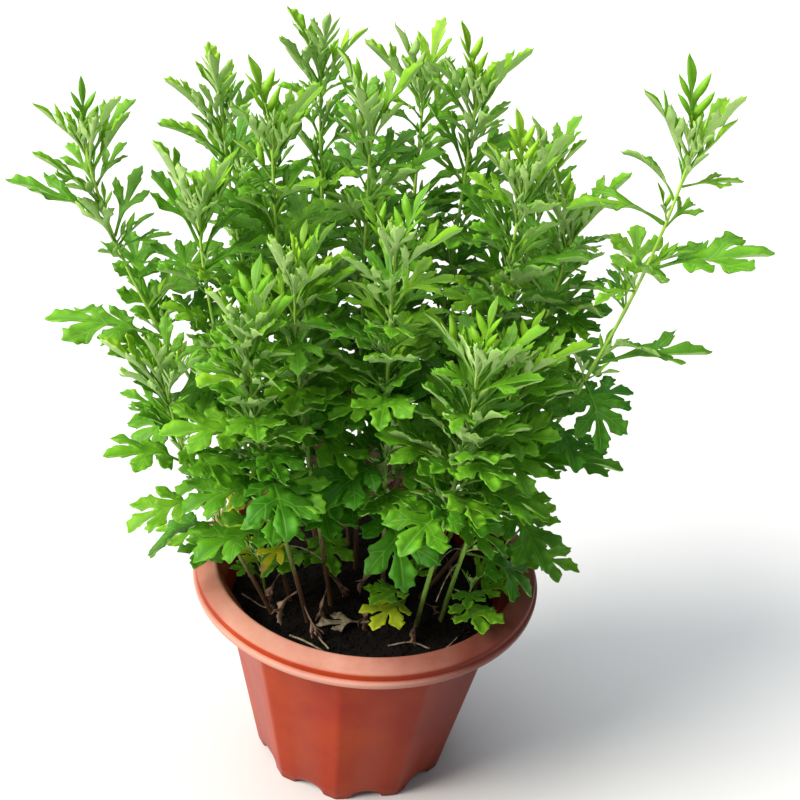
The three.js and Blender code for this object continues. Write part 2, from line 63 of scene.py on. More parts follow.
def linear(colour: str) -> tuple[float, float, float, float]:
    """Turns an sRGB hex colour into linear light.

    Args:
        colour: The colour as "#rrggbb".

    Returns:
        Red, green, blue and an alpha of 1.
    """
    parts = [int(colour[i:i + 2], 16) / 255 for i in (1, 3, 5)]
    flat = [p / 12.92 if p <= 0.04045 else ((p + 0.055) / 1.055) ** 2.4 for p in parts]
    return (*flat, 1.0)


def add_node(
    tree: NodeTree, kind: str, settings: dict | None = None, links: dict | None = None
) -> Node:
    """Adds a node to a tree.

    Args:
        tree: The node tree.
        kind: The node's type name.
        settings: Values by name. A lower-case name is a property, any other name or a number is an input, and
            "stops" is a colour ramp's list of places and hex colours.
        links: What feeds each input, by its name or number: a socket, or a node for its first output in use.

    Returns:
        The new node.
    """
    made = tree.nodes.new(kind)
    for name, value in (settings or {}).items():
        if name == "stops":
            ramp = made.color_ramp.elements
            while len(ramp) < len(value):
                ramp.new(0.5)
            for stop, (place, colour) in zip(ramp, value):
                stop.position = place
                stop.color = linear(colour)
        elif isinstance(name, str) and name[0].islower():
            setattr(made, name, value)
        else:
            made.inputs[name].default_value = value
    for name, source in (links or {}).items():
        if isinstance(source, Node):
            source = next(socket for socket in source.outputs if socket.enabled)
        tree.links.new(source, made.inputs[name])
    return made


# Finishes


def new_material(name: str) -> tuple[Material, NodeTree, NodeSocket]:
    """Makes an empty node material.

    Args:
        name: The material's name.

    Returns:
        The material, its node tree, and the place on the piece in metres, which its patterns follow.
    """
    material = bpy.data.materials.new(name)
    material.use_nodes = True
    tree = material.node_tree
    tree.nodes.clear()
    return material, tree, add_node(tree, "ShaderNodeTexCoord").outputs["Object"]


def marks_read(tree: NodeTree, *names: str) -> list[NodeSocket]:
    """Reads a mesh's marks, such as age.

    Args:
        tree: The material's node tree.
        *names: The marks' names.

    Returns:
        The sockets that give them, in the order of the names.
    """
    readers = [add_node(tree, "ShaderNodeAttribute", {"attribute_name": name}) for name in names]
    return [reader.outputs["Fac"] for reader in readers]


def lay_tints(tree: NodeTree, base: Source, tints: tuple[tuple, ...]) -> Source:
    """Lays tints over a colour, one after another.

    Args:
        tree: The material's node tree.
        base: What gives the colour below.
        tints: For each, what it follows, where on that it starts and where it is full, how much it covers
            there, and its hex colour.

    Returns:
        What gives the last colour.
    """
    for follows, start, full, cover, colour in tints:
        share = add_node(tree, "ShaderNodeMapRange", {1: start, 2: full, 4: cover}, {"Value": follows})
        base = add_node(
            tree, "ShaderNodeMix", {"data_type": "RGBA", 7: linear(colour)}, {0: share, 6: base},
        )
    return base


def shade(
    material: Material, settings: dict, feeds: dict[str, Source],
    relief: tuple[Source, float, float] | None = None, light_passing: float = 0.0,
) -> Material:
    """Gives a material its shader.

    Args:
        material: The material.
        settings: The shader's values that are the same all over.
        feeds: What feeds its other inputs.
        relief: What its fine relief follows, the relief's strength, and its depth in metres.
        light_passing: The share of light that it lets through.

    Returns:
        The material.
    """
    tree = material.node_tree
    if relief:
        pattern, strength, depth = relief
        bump = add_node(
            tree, "ShaderNodeBump", {"Strength": strength, "Distance": depth}, {"Height": pattern},
        )
        feeds = {**feeds, "Normal": bump}
    surface = add_node(tree, "ShaderNodeBsdfPrincipled", settings, feeds)
    if light_passing:
        passed = add_node(tree, "ShaderNodeBsdfTranslucent", {}, {"Color": feeds["Base Color"]})
        surface = add_node(tree, "ShaderNodeMixShader", {"Fac": light_passing}, {1: surface, 2: passed})
    add_node(tree, "ShaderNodeOutputMaterial", {}, {"Surface": surface})
    return material


@dataclass(frozen=True)
class MouldedPolypropylene:
    """Terracotta-coloured polypropylene, injection moulded: a little glossy, dusted and scuffed by use, with a
    painted sheen on its upward faces and rim edge and painted shade on one side.
    """

    fresh: str = "#8e2002"
    faded: str = "#a23806"
    # dust and scuffs, also used as a painted sheen and highlight on the upward faces and along the rim's edge
    dust_and_sheen: str = "#d8b09f"
    splash: str = "#5d3524"
    # painted shade: a dark tint laid over the pot's right side, where less light falls
    damp_soil_and_painted_pot_shade: str = "#4f1207"
    dust_patch: float = 45 * MM
    scuff_width: float = 1.2 * MM
    scuff_stretch: float = 0.16
    splash_height: float = 45 * MM
    speck: float = 5 * MM
    # how far to the right the painted shade takes to reach full strength
    painted_shade_reach: float = 75 * MM
    # the pale band at the rim's edge is scuffing and also a painted highlight
    scuff_and_highlight_from: float = 119 * MM
    scuff_and_highlight_to: float = 120.3 * MM
    # The mould's own grain is finer, and is drawn this coarse so that it shows
    grain: float = 0.9 * MM

    def build(self) -> Material:
        """Builds the material.

        Returns:
            The material.
        """
        material, tree, place = new_material("moulded_polypropylene")
        # Fine scuffs run round the pot, because it is turned and slid against its neighbours
        around = add_node(
            tree, "ShaderNodeMapping", {"Scale": (self.scuff_stretch, self.scuff_stretch, 1.0)},
            {"Vector": place},
        )
        blotches, scuffs, specks, grain = [
            add_node(
                tree, "ShaderNodeTexNoise", {"Scale": 1 / size, "Detail": detail, "Roughness": roughness},
                {"Vector": route},
            )
            for size, detail, roughness, route in (
                (self.dust_patch, 5.0, 0.6, place), (self.scuff_width, 3.0, 0.7, around),
                (self.speck, 6.0, 0.75, place), (self.grain, 2.0, 0.5, place),
            )
        ]
        normal = add_node(tree, "ShaderNodeNewGeometry").outputs["Normal"]
        facing, spot = [
            add_node(tree, "ShaderNodeSeparateXYZ", {}, {"Vector": way}).outputs for way in (normal, place)
        ]
        # Dust settles where the surface faces up, and the pale tint there is also a painted sheen on the upward
        # faces; splashes of soil dry low on the wall
        scuffed, settled_dust_and_sheen, low, specked = [
            add_node(tree, "ShaderNodeMapRange", {1: start, 2: end, 3: first, 4: last}, {"Value": source})
            for source, start, end, first, last in (
                (scuffs, 0.6, 0.78, 0.0, 0.08), (facing["Z"], 0.25, 0.95, 0.0, 0.85),
                (spot["Z"], 0.0, self.splash_height, 0.75, 0.0), (specks, 0.56, 0.7, 0.0, 1.0),
            )
        ]
        dust_and_sheen_patches, splashed = [
            add_node(tree, "ShaderNodeMath", {"operation": "MULTIPLY"}, {0: one, 1: other})
            for one, other in ((settled_dust_and_sheen, blotches), (low, specked))
        ]
        marks_and_sheen = add_node(
            tree, "ShaderNodeMath", {"operation": "ADD", "use_clamp": True}, {0: dust_and_sheen_patches, 1: scuffed},
        )
        level = add_node(
            tree, "ShaderNodeVectorMath", {"operation": "MULTIPLY", 1: (1.0, 1.0, 0.0)}, {0: place},
        )
        reach = add_node(tree, "ShaderNodeVectorMath", {"operation": "LENGTH"}, {0: level})
        body = add_node(
            tree, "ShaderNodeValToRGB", {"stops": [(0.3, self.fresh), (0.72, self.faded)]}, {"Fac": blotches},
        )
        # The rim's edge is scuffed pale, because the pot is gripped there, and that pale band is also a painted
        # highlight; one side is darkened with painted shade, where less light falls
        colour = lay_tints(tree, body, (
            (marks_and_sheen, 0.0, 1.0, 1.0, self.dust_and_sheen),
            # scuffed pale, and a painted highlight, along the rim's edge
            (reach, self.scuff_and_highlight_from, self.scuff_and_highlight_to, 0.62, self.dust_and_sheen),
            # painted shade: darker towards the pot's right side
            (spot["X"], 0.0, self.painted_shade_reach, 0.8, self.damp_soil_and_painted_pot_shade),
            (splashed, 0.0, 1.0, 1.0, self.splash),
        ))
        rough = add_node(tree, "ShaderNodeMapRange", {1: 0.0, 2: 0.5, 3: 0.36, 4: 0.62}, {"Value": marks_and_sheen})
        return shade(
            material, {"IOR": 1.49, "Specular IOR Level": 0.14}, {"Base Color": colour, "Roughness": rough},
            (grain, 0.12, 0.3 * MM),
        )


@dataclass(frozen=True)
class PottingSoil:
    """Damp peat and loam: nearly black, matt, with a few paler fibres and grains."""

    wet: str = "#080504"
    damp_soil_and_painted_pot_shade: str = "#150e0a"
    fibre: str = "#3f3024"
    clod: float = 9 * MM
    clod_depth: float = 2 * MM

    def build(self) -> Material:
        """Builds the material.

        Returns:
            The material.
        """
        material, tree, place = new_material("potting_soil")
        clods = add_node(
            tree, "ShaderNodeTexNoise", {"Scale": 1 / self.clod, "Detail": 8.0, "Roughness": 0.7},
            {"Vector": place},
        )
        colour = add_node(
            tree, "ShaderNodeValToRGB",
            {"stops": [(0.35, self.wet), (0.62, self.damp_soil_and_painted_pot_shade), (0.82, self.fibre)]}, {"Fac": clods},
        )
        return shade(
            material, {"Roughness": 0.92, "Specular IOR Level": 0.2}, {"Base Color": colour},
            (clods, 0.9, self.clod_depth),
        )


@dataclass(frozen=True)
class LeafBlade:
    """A mugwort leaf's upper face: thin, waxy and light-passing, yellow-green and then a deeper green."""

    young: str = "#a6d82c"
    grown: str = "#7abc24"
    old: str = "#429018"
    # painted shade: the dark green laid where the blade dips to its veins
    rim_groove_and_painted_vein_shade: str = "#1f5a0c"
    rib: str = "#98d04c"
    faded: str = "#f2e436"
    scorched: str = "#b5835e"
    light_passing: float = 0.3
    mottle: float = 14 * MM
    cell: float = 1.6 * MM
    cell_depth: float = 0.4 * MM

    def build(self) -> Material:
        """Builds the material.

        Returns:
            The material.
        """
        material, tree, place = new_material("leaf_blade")
        age, tint, rib, fade = marks_read(tree, "age", "tint", "rib", "fade")
        mottling, cells = [
            add_node(tree, "ShaderNodeTexNoise", {"Scale": 1 / size, "Detail": detail}, {"Vector": place})
            for size, detail in ((self.mottle, 4.0), (self.cell, 3.0))
        ]
        shift = add_node(tree, "ShaderNodeMath", {"operation": "ADD"}, {0: tint, 1: mottling})
        spread = add_node(tree, "ShaderNodeMapRange", {1: 0.5, 2: 1.5, 3: -0.2, 4: 0.2}, {"Value": shift})
        aged = add_node(
            tree, "ShaderNodeMath", {"operation": "ADD", "use_clamp": True}, {0: age, 1: spread},
        )
        green = add_node(
            tree, "ShaderNodeValToRGB",
            {"stops": [(0.05, self.young), (0.5, self.grown), (0.95, self.old)]}, {"Fac": aged},
        )
        # Painted shade darkens the blade where it dips to its veins, the thickest veins are pale, and some
        # leaves fade
        colour = lay_tints(tree, green, (
            (rib, 0.1, 0.8, 0.42, self.rim_groove_and_painted_vein_shade),
            (rib, 0.9, 0.98, 0.34, self.rib),
            (fade, 0.05, 0.45, 1.0, self.faded),
            (fade, 0.75, 0.95, 1.0, self.scorched),
        ))
        return shade(
            material, {"Roughness": 0.5, "IOR": 1.4}, {"Base Color": colour}, (cells, 0.6, self.cell_depth),
            self.light_passing,
        )


@dataclass(frozen=True)
class LeafFelt:
    """A mugwort leaf's underside: short white down over pale green, matt and silvery."""

    down: str = "#d2ee9a"
    green: str = "#84c43a"
    faded: str = "#d9c770"
    light_passing: float = 0.3
    # Single hairs are too fine to show, so the down is drawn in tufts of this width
    tuft: float = 2.2 * MM

    def build(self) -> Material:
        """Builds the material.

        Returns:
            The material.
        """
        material, tree, place = new_material("leaf_felt")
        age, rib, fade = marks_read(tree, "age", "rib", "fade")
        felt = add_node(
            tree, "ShaderNodeTexNoise", {"Scale": 1 / self.tuft, "Detail": 4.0, "Roughness": 0.7},
            {"Vector": place},
        )
        # The down wears off as the leaf ages
        worn = add_node(tree, "ShaderNodeMath", {"operation": "MULTIPLY_ADD", 1: 1.3, 2: 0.25}, {0: age})
        thin = add_node(tree, "ShaderNodeMath", {"operation": "MULTIPLY"}, {0: worn, 1: felt})
        base = add_node(
            tree, "ShaderNodeMix", {"data_type": "RGBA", 6: linear(self.down), 7: linear(self.green)},
            {0: thin},
        )
        colour = lay_tints(tree, base, ((rib, 0.5, 1.0, 0.5, self.down), (fade, 0.0, 1.0, 1.0, self.faded)))
        return shade(
            material, {"Roughness": 0.8, "Sheen Weight": 0.08, "Sheen Roughness": 0.5},
            {"Base Color": colour}, light_passing=self.light_passing,
        )


@dataclass(frozen=True)
class StemBark:
    """A ribbed green stem that turns brown and corky near the soil."""

    green: str = "#86b548"
    tip: str = "#a6cc52"
    woody: str = "#5f452e"
    streak: float = 2.5 * MM
    streak_stretch: float = 0.15
    streak_depth: float = 0.4 * MM

    def build(self) -> Material:
        """Builds the material.

        Returns:
            The material.
        """
        material, tree, place = new_material("stem_bark")
        age, = marks_read(tree, "age")
        stretched = add_node(
            tree, "ShaderNodeMapping", {"Scale": (1.0, 1.0, self.streak_stretch)}, {"Vector": place},
        )
        streaks = add_node(
            tree, "ShaderNodeTexNoise", {"Scale": 1 / self.streak, "Detail": 4.0}, {"Vector": stretched},
        )
        shift = add_node(
            tree, "ShaderNodeMath", {"operation": "MULTIPLY_ADD", 1: 0.3, 2: -0.15}, {0: streaks},
        )
        aged = add_node(
            tree, "ShaderNodeMath", {"operation": "ADD", "use_clamp": True}, {0: age, 1: shift},
        )
        colour = add_node(
            tree, "ShaderNodeValToRGB",
            {"stops": [(0.1, self.tip), (0.55, self.green), (0.8, self.woody)]}, {"Fac": aged},
        )
        return shade(
            material, {"Roughness": 0.55, "IOR": 1.42}, {"Base Color": colour},
            (streaks, 0.4, self.streak_depth),
        )


@dataclass(frozen=True)
class DryLeaf:
    """A dead leaf: papery, matt, in bleached greys and browns."""

    name: str = "dry_leaf"
    pale: str = "#a79d84"
    brown: str = "#6b5440"
    blotch: float = 6 * MM
    crumple: float = 0.5 * MM

    def build(self) -> Material:
        """Builds the material.

        Returns:
            The material.
        """
        material, tree, place = new_material(self.name)
        blotches = add_node(
            tree, "ShaderNodeTexNoise", {"Scale": 1 / self.blotch, "Detail": 6.0, "Roughness": 0.65},
            {"Vector": place},
        )
        colour = add_node(
            tree, "ShaderNodeValToRGB", {"stops": [(0.38, self.brown), (0.58, self.pale)]},
            {"Fac": blotches},
        )
        return shade(material, {"Roughness": 0.85}, {"Base Color": colour}, (blotches, 0.5, self.crumple))


@dataclass(frozen=True)
class MattPaper:
    """The studio's floor: seamless pale paper with a faint tooth."""

    white: str = "#d0d0cf"
    # Real paper has a finer tooth, which is drawn this coarse so that it shows
    tooth: float = 1.5 * MM
    tooth_depth: float = 0.1 * MM

    def build(self) -> Material:
        """Builds the material.

        Returns:
            The material.
        """
        material, tree, place = new_material("matt_paper")
        tooth = add_node(
            tree, "ShaderNodeTexNoise", {"Scale": 1 / self.tooth, "Detail": 2.0}, {"Vector": place},
        )
        return shade(
            material, {"Base Color": linear(self.white), "Roughness": 0.9}, {},
            (tooth, 0.05, self.tooth_depth),
        )


# Meshes


@dataclass
class MeshParts:
    """Points and faces gathered for one mesh, with the marks that its finishes read."""

    marks: tuple[str, ...] = ("age", "tint", "rib", "fade")
    points: list[np.ndarray] = field(default_factory=list)
    faces: list[list[int]] = field(default_factory=list)
    finishes: list[int] = field(default_factory=list)
    smooth: list[bool] = field(default_factory=list)
    values: dict[str, list[np.ndarray]] = field(default_factory=dict)
    count: int = 0

    def add(
        self, points: np.ndarray, faces: np.ndarray | list, finish: int, smooth: bool = True,
        **marks: float | np.ndarray,
    ) -> int:
        """Adds points and the faces on them.

        Args:
            points: Places in metres, one row each.
            faces: Rows of point numbers, counted from the first of these points.
            finish: Which of the mesh's materials the faces have.
            smooth: Whether the faces are shaded smooth.
            **marks: For each mark, one value for all the points or one for each.

        Returns:
            The number that the first of these points has in the whole mesh.
        """
        first = self.count
        self.points.append(points)
        self.count += len(points)
        for name in self.marks:
            value = np.broadcast_to(np.asarray(marks.get(name, 0.0), float), len(points))
            self.values.setdefault(name, []).append(value)
        self.add_faces([[v + first for v in face] for face in np_list(faces)], finish, smooth)
        return first

    def add_faces(self, faces: np.ndarray | list, finish: int, smooth: bool = True) -> None:
        """Adds faces on points that the mesh already has.

        Args:
            faces: Rows of point numbers, counted in the whole mesh.
            finish: Which of the mesh's materials they have.
            smooth: Whether they are shaded smooth.
        """
        self.faces.extend(np_list(faces))
        self.finishes.extend([finish] * len(faces))
        self.smooth.extend([smooth] * len(faces))

    def add_mesh(self, mesh: Mesh, finish: int) -> None:
        """Adds a copy of a Blender mesh, with the marks that it has.

        Args:
            mesh: The mesh.
            finish: Which of this mesh's materials its faces have.
        """
        points = np.empty(len(mesh.vertices) * 3)
        mesh.vertices.foreach_get("co", points)
        marks = {}
        for name in self.marks:
            if name in mesh.attributes:
                marks[name] = np.empty(len(mesh.vertices))
                mesh.attributes[name].data.foreach_get("value", marks[name])
        self.add(points.reshape(-1, 3), [list(face.vertices) for face in mesh.polygons], finish, **marks)

    def to_object(self, name: str, materials: list[Material]) -> Object:
        """Makes the object.

        Args:
            name: The object's name.
            materials: Its materials, in the order that the faces' finishes count them.

        Returns:
            The new object, at the origin.
        """
        mesh = bpy.data.meshes.new(name)
        mesh.from_pydata(np.concatenate(self.points).tolist(), [], self.faces)
        for material in materials:
            mesh.materials.append(material)
        mesh.polygons.foreach_set("material_index", self.finishes)
        mesh.polygons.foreach_set("use_smooth", self.smooth)
        for mark in self.marks:
            layer = mesh.attributes.new(mark, "FLOAT", "POINT")
            layer.data.foreach_set("value", np.concatenate(self.values[mark]).astype(np.float32))
        mesh.validate()
        mesh.update()
        return link(bpy.data.objects.new(name, mesh))


def np_list(rows: np.ndarray | list) -> list:
    """Returns rows as plain lists."""
    return rows.tolist() if isinstance(rows, np.ndarray) else rows


def link(piece: Object) -> Object:
    """Puts an object in the scene and returns it."""
    bpy.context.scene.collection.objects.link(piece)
    return piece


def applied(piece: Object) -> Mesh:
    """Turns an object with its modifiers into a plain mesh, and removes the modifiers.

    Args:
        piece: The object.

    Returns:
        The plain mesh.
    """
    made = bpy.data.meshes.new_from_object(piece.evaluated_get(bpy.context.evaluated_depsgraph_get()))
    piece.modifiers.clear()
    return made


def smooth_noise(point: tuple[float, float, float], size: float, octaves: int = 3) -> float:
    """Fractal noise of about -1 to 1.

    Args:
        point: The place, in any unit.
        size: The width of the largest swell, in the same unit.
        octaves: How many finer layers it has.

    Returns:
        The noise's value there.
    """
    return noise.fractal(Vector(point) / size, 1.0, 2.0, octaves)


# The plant's growth rule, the same as on the solids


def heading(turn: float) -> np.ndarray:
    """Returns the level direction of a turn in radians."""
    return np.array([math.cos(turn), math.sin(turn), 0.0])


class NumberStream:
    """A repeatable stream of numbers from 0 to 1."""

    def __init__(self, seed: int) -> None:
        """Starts the stream at a seed."""
        self.state = seed

    def draw(self) -> float:
        """Returns the next number."""
        self.state = (self.state * 1664525 + 1013904223) % 4294967296
        return self.state / 4294967296


class LeafKind(Enum):
    """The outlines of leaf: five lobes low down, three above, narrow ones at the tips, and the smallest."""

    BROAD = "broad"
    TRIDENT = "trident"
    LANCE = "lance"
    BUD = "bud"


# Half-widths of each kind as shares of the leaf's length, which keep the leaves clear of each other
REACH = {
    LeafKind.BROAD: [(0, 0.01), (0.22, 0.045), (0.47, 0.34), (0.76, 0.37), (1, 0.02)],
    LeafKind.TRIDENT: [(0, 0.01), (0.34, 0.055), (0.7, 0.27), (1, 0.02)],
    LeafKind.LANCE: [(0, 0.01), (0.5, 0.1), (1, 0.02)],
}
FOLD = 0.3
SAMPLE_STEP = 4.5
LEAF_CLEARANCE = 7.2
STEM_CLEARANCE = 7.6
OWN_CLEARANCE = 4.0
OPEN_FROM = 20.0
OPEN_SLOPE = 0.58


@dataclass(frozen=True)
class Habit:
    """How a sort of stem bears its leaves, from the lowest to the highest. Millimetres and radians."""

    thickness: float
    tuft: tuple[LeafKind, ...]
    tuft_length: float
    keeps_open: bool
    lowest: float = 0.25
    highest: float = 0.9
    lengths: tuple[float, float] = (62.0, 52.0)
    rises: tuple[float, float] = (0.15, 0.85)
    bends: tuple[float, float] = (1.1, 0.45)
    broad_below: float = 0.75


TALL_HABIT = Habit(1.0, (LeafKind.TRIDENT, LeafKind.LANCE, LeafKind.TRIDENT, LeafKind.LANCE), 48.0, True)
SHORT_HABIT = Habit(0.7, (LeafKind.TRIDENT, LeafKind.LANCE), 24.0, False)


@dataclass(frozen=True)
class StemPlace:
    """Where a stem stands: its foot and top in mm, its low bow, its leaf count or chosen leaves."""

    name: str
    foot: tuple[float, float]
    top: tuple[float, float, float]
    leaf_count: int = 0
    turn: float = 0.0
    lowest: float | None = None
    bow: float = 0.36
    chosen: tuple[tuple, ...] = ()


BROAD, TRIDENT, LANCE = LeafKind.BROAD, LeafKind.TRIDENT, LeafKind.LANCE
TALL_STEMS = (
    StemPlace("stem_left_outer", (-14, -10), (-187, -10, 456), bow=0.42, chosen=(
        (BROAD, 0.28, 250, 10, 62, 60), (BROAD, 0.36, 120, 15, 60, 50), (BROAD, 0.44, 215, 5, 60, 55),
        (BROAD, 0.59, 184, 18, 74, 25), (BROAD, 0.61, 350, 14, 56, 20), (BROAD, 0.65, 38, 46, 62, 25),
        (TRIDENT, 0.75, 300, 30, 34, 30), (TRIDENT, 0.78, 5, 28, 34, 20), (TRIDENT, 0.83, 178, 32, 64, 30),
        (TRIDENT, 0.87, 200, 50, 50, 20), (TRIDENT, 0.9, 60, 50, 34, 25),
    )),
    StemPlace("stem_right_outer", (40, -8), (168, 0, 488), bow=0.52, chosen=(
        (BROAD, 0.24, 285, 5, 60, 60), (BROAD, 0.31, 110, 15, 60, 50), (BROAD, 0.35, 355, 8, 58, 20),
        (BROAD, 0.49, 205, 8, 54, 45), (BROAD, 0.52, 262, 0, 52, 65), (TRIDENT, 0.56, 2, 20, 72, 20),
        (TRIDENT, 0.67, 100, 30, 42, 40), (TRIDENT, 0.71, 225, 20, 38, 40), (BROAD, 0.75, 358, 24, 76, 20),
        (TRIDENT, 0.84, 183, 34, 62, 60), (TRIDENT, 0.91, 10, 16, 38, 20),
    )),
    StemPlace("stem_left_back", (-30, 18), (-114, 40, 466), 12, 150),
    StemPlace("stem_back_left", (-15, 45), (-61, 110, 478), 11, 170),
    StemPlace("stem_left_inner", (-28, 6), (-78, 0, 467), 12, 20),
    StemPlace("stem_centre_back", (-8, 16), (-21, 20, 475), 12, 60),
    StemPlace("stem_back_right", (10, 42), (8, 90, 478), 11, 100),
    StemPlace("stem_right_back", (20, 24), (41, 60, 484), 11, 10),
    StemPlace("stem_right_inner", (34, 6), (74, 10, 448), 11, 0),
    StemPlace("stem_right_middle", (48, 20), (111, 40, 410), 10, 40),
    StemPlace("stem_left_middle", (-50, -26), (-118, -20, 424), 11, 220, lowest=0.32),
    StemPlace("stem_centre_front", (14, -28), (1, -60, 425), 11, 300, lowest=0.34),
    StemPlace("stem_front_left", (-22, -26), (-56, -48, 398), 10, 250, lowest=0.34),
    StemPlace("stem_left_front", (-36, -46), (-78, -88, 380), 10, 230, lowest=0.36),
    StemPlace("stem_front_right", (38, -40), (55, -82, 368), 10, 320, lowest=0.36),
    StemPlace("stem_left_low", (-60, -44), (-128, -66, 330), 7, 130, lowest=0.42),
    StemPlace("stem_right_low", (54, -34), (80, -40, 345), 8, 300, lowest=0.3),
    StemPlace("stem_rear_left", (-40, 48), (-112, 112, 402), 10, 120),
    StemPlace("stem_rear_right", (38, 50), (98, 118, 420), 10, 80),
)
SHORT_SHOOTS = (
    StemPlace("shoot_left", (-72, -6), (-104, -12, 190), chosen=(
        (BROAD, 0.5, 100, 10, 34, 30), (BROAD, 0.72, 186, 12, 46, 15), (BROAD, 0.85, 218, -4, 48, 25),
    )),
    StemPlace("shoot_front_left", (-66, -26), (-70, -34, 178), chosen=(
        (BROAD, 0.6, 250, 2, 34, 50), (BROAD, 0.7, 140, 15, 34, 40), (TRIDENT, 0.85, 20, 30, 26, 30),
    )),
    StemPlace("shoot_front", (26, -32), (30, -38, 178), chosen=(
        (BROAD, 0.5, 244, 0, 44, 40), (BROAD, 0.7, 190, 15, 40, 40), (BROAD, 0.85, 330, 20, 34, 30),
    )),
    StemPlace("shoot_front_right", (62, -30), (72, -36, 176), chosen=(
        (BROAD, 0.5, 284, 8, 50, 30), (BROAD, 0.7, 335, 6, 42, 20), (BROAD, 0.85, 225, 20, 34, 40),
    )),
    StemPlace("shoot_right", (78, 6), (98, 4, 200), chosen=(
        (BROAD, 0.45, 290, 5, 40, 50), (BROAD, 0.65, 345, 8, 54, 25), (BROAD, 0.78, 40, 30, 44, 25),
        (BROAD, 0.88, 130, 30, 34, 25),
    )),
    StemPlace("shoot_rear", (4, 76), (14, 100, 190), chosen=(
        (BROAD, 0.5, 60, 10, 46, 30), (BROAD, 0.7, 130, 10, 44, 25), (BROAD, 0.85, 260, 20, 34, 30),
    )),
)

# Ways to swing, lift and shorten a leaf that would cross another stem's foliage, in the order they are tried
EVASIONS = (
    (0, 0, 1), (24, 0, 1), (-24, 0, 1), (0, 22, 1), (0, -22, 1), (40, 16, 0.95), (-40, 16, 0.95),
    (60, 0, 0.9), (-60, 0, 0.9), (0, 38, 0.9), (30, -24, 0.85), (-30, -24, 0.85), (85, 24, 0.85),
    (-85, 24, 0.85), (120, 10, 0.8), (-120, 10, 0.8), (160, 20, 0.8), (0, 50, 0.75), (60, 40, 0.7),
    (-60, 40, 0.7), (180, 45, 0.7),
)


@dataclass(frozen=True)
class LeafWish:
    """Where a leaf would grow: its kind, share of the stem's height, angles in radians and length in mm."""

    kind: LeafKind
    share: float
    turn: float
    rise: float
    length: float
    bend: float
    roll: float = 0.0


class Leaf:
    """A leaf's place and form: from a root, along a direction, bending down as it goes. Millimetres."""

    def __init__(self, wish: LeafWish, root: np.ndarray, turn: float, rise: float, length: float) -> None:
        """Sets the leaf on its root.

        Args:
            wish: Where it would grow, which gives its kind, bend and roll.
            root: Its root, in mm.
            turn: The turn that it takes, in radians.
            rise: The angle that it rises at, in radians.
            length: Its length, in mm.
        """
        self.kind = wish.kind
        self.share = wish.share
        self.root = root
        self.length = length
        self.bend = wish.bend
        self.along = np.array([
            math.cos(turn) * math.cos(rise), math.sin(turn) * math.cos(rise), math.sin(rise),
        ])
        level = np.array([-math.sin(turn), math.cos(turn), 0.0])
        upright = np.cross(self.along, level)
        self.across = level * math.cos(wish.roll) + upright * math.sin(wish.roll)
        self.up = np.cross(self.along, self.across)

    def spread(self, u: np.ndarray, v: np.ndarray, lift: np.ndarray | float, side: np.ndarray) -> np.ndarray:
        """Places points on the bent leaf.

        Args:
            u: Shares of its length along it.
            v: Shares of its length across it.
            lift: Height off its middle surface, in mm.
            side: Distance across after folding, as a share of its length.

        Returns:
            The points, one row each, in mm.
        """
        angle = (self.bend * u)[:, None]
        forward = self.length * np.sin(angle) / self.bend
        drop = self.length * (1 - np.cos(angle)) / self.bend
        normal = self.up * np.cos(angle) + self.along * np.sin(angle)
        sideways = (side * self.length)[:, None]
        raised = normal * lift[:, None]
        return self.root + self.along * forward - self.up * drop + self.across * sideways + raised

    def half_width(self, u: float) -> float:
        """Works out half the leaf's width over its lobes.

        Args:
            u: The share of its length to measure at.

        Returns:
            The half-width as a share of its length.
        """
        reach = REACH[self.kind]
        after = max(1, next((i for i, (along, _) in enumerate(reach) if along >= u), 1))
        (u0, w0), (u1, w1) = reach[after - 1], reach[after]
        return w0 + (u - u0) * (w1 - w0) / (u1 - u0)

    def samples(self) -> tuple[np.ndarray, np.ndarray]:
        """Spreads points over the blade, for keeping it clear of other foliage.

        Returns:
            Each point's share of the leaf's length, and the points in mm.
        """
        rows = math.ceil(self.length * 0.9 / SAMPLE_STEP)
        us, vs = [], []
        for row in range(rows + 1):
            u = 0.1 + 0.9 * row / rows
            half = self.half_width(u)
            columns = math.ceil(2 * half * self.length / SAMPLE_STEP)
            us.extend([u] * (columns + 1))
            vs.extend(half * (2 * column / columns - 1) for column in range(columns + 1))
        u, v = np.array(us), np.array(vs)
        lift = np.abs(v) * self.length * math.sin(FOLD)
        return u, self.spread(u, v, lift, v * math.cos(FOLD))


class Surroundings:
    """Points of everything placed so far, in cells, so that near ones are found quickly."""

    def __init__(self) -> None:
        """Starts with nothing placed."""
        self.cells: dict[tuple[int, int, int], list[tuple]] = {}

    def add(self, points: np.ndarray, owner: str, clearance: float) -> None:
        """Adds points that others keep clear of.

        Args:
            points: The points, in mm.
            owner: The stem that they are on.
            clearance: How far others keep from them, in mm.
        """
        keys = np.floor(points / STEM_CLEARANCE).astype(int)
        for key, point in zip(map(tuple, keys.tolist()), points.tolist()):
            self.cells.setdefault(key, []).append((point, owner, clearance))

    def clear(self, point: list[float], owner: str, own: float, slack: float) -> bool:
        """Tells whether a point of an owner's leaf lies clear of everything else, and of its own leaves.

        Args:
            point: The point, in mm.
            owner: The stem that it is on.
            own: How far it keeps from the owner's other leaves.
            slack: The share of each clearance that it keeps.

        Returns:
            True if nothing is nearer.
        """
        i, j, k = (math.floor(value / STEM_CLEARANCE) for value in point)
        for a in (i - 1, i, i + 1):
            for b in (j - 1, j, j + 1):
                for c in (k - 1, k, k + 1):
                    for other, other_owner, clearance in self.cells.get((a, b, c), ()):
                        needed = own if other_owner == owner else clearance * slack
                        if math.dist(other, point) < needed:
                            return False
        return True


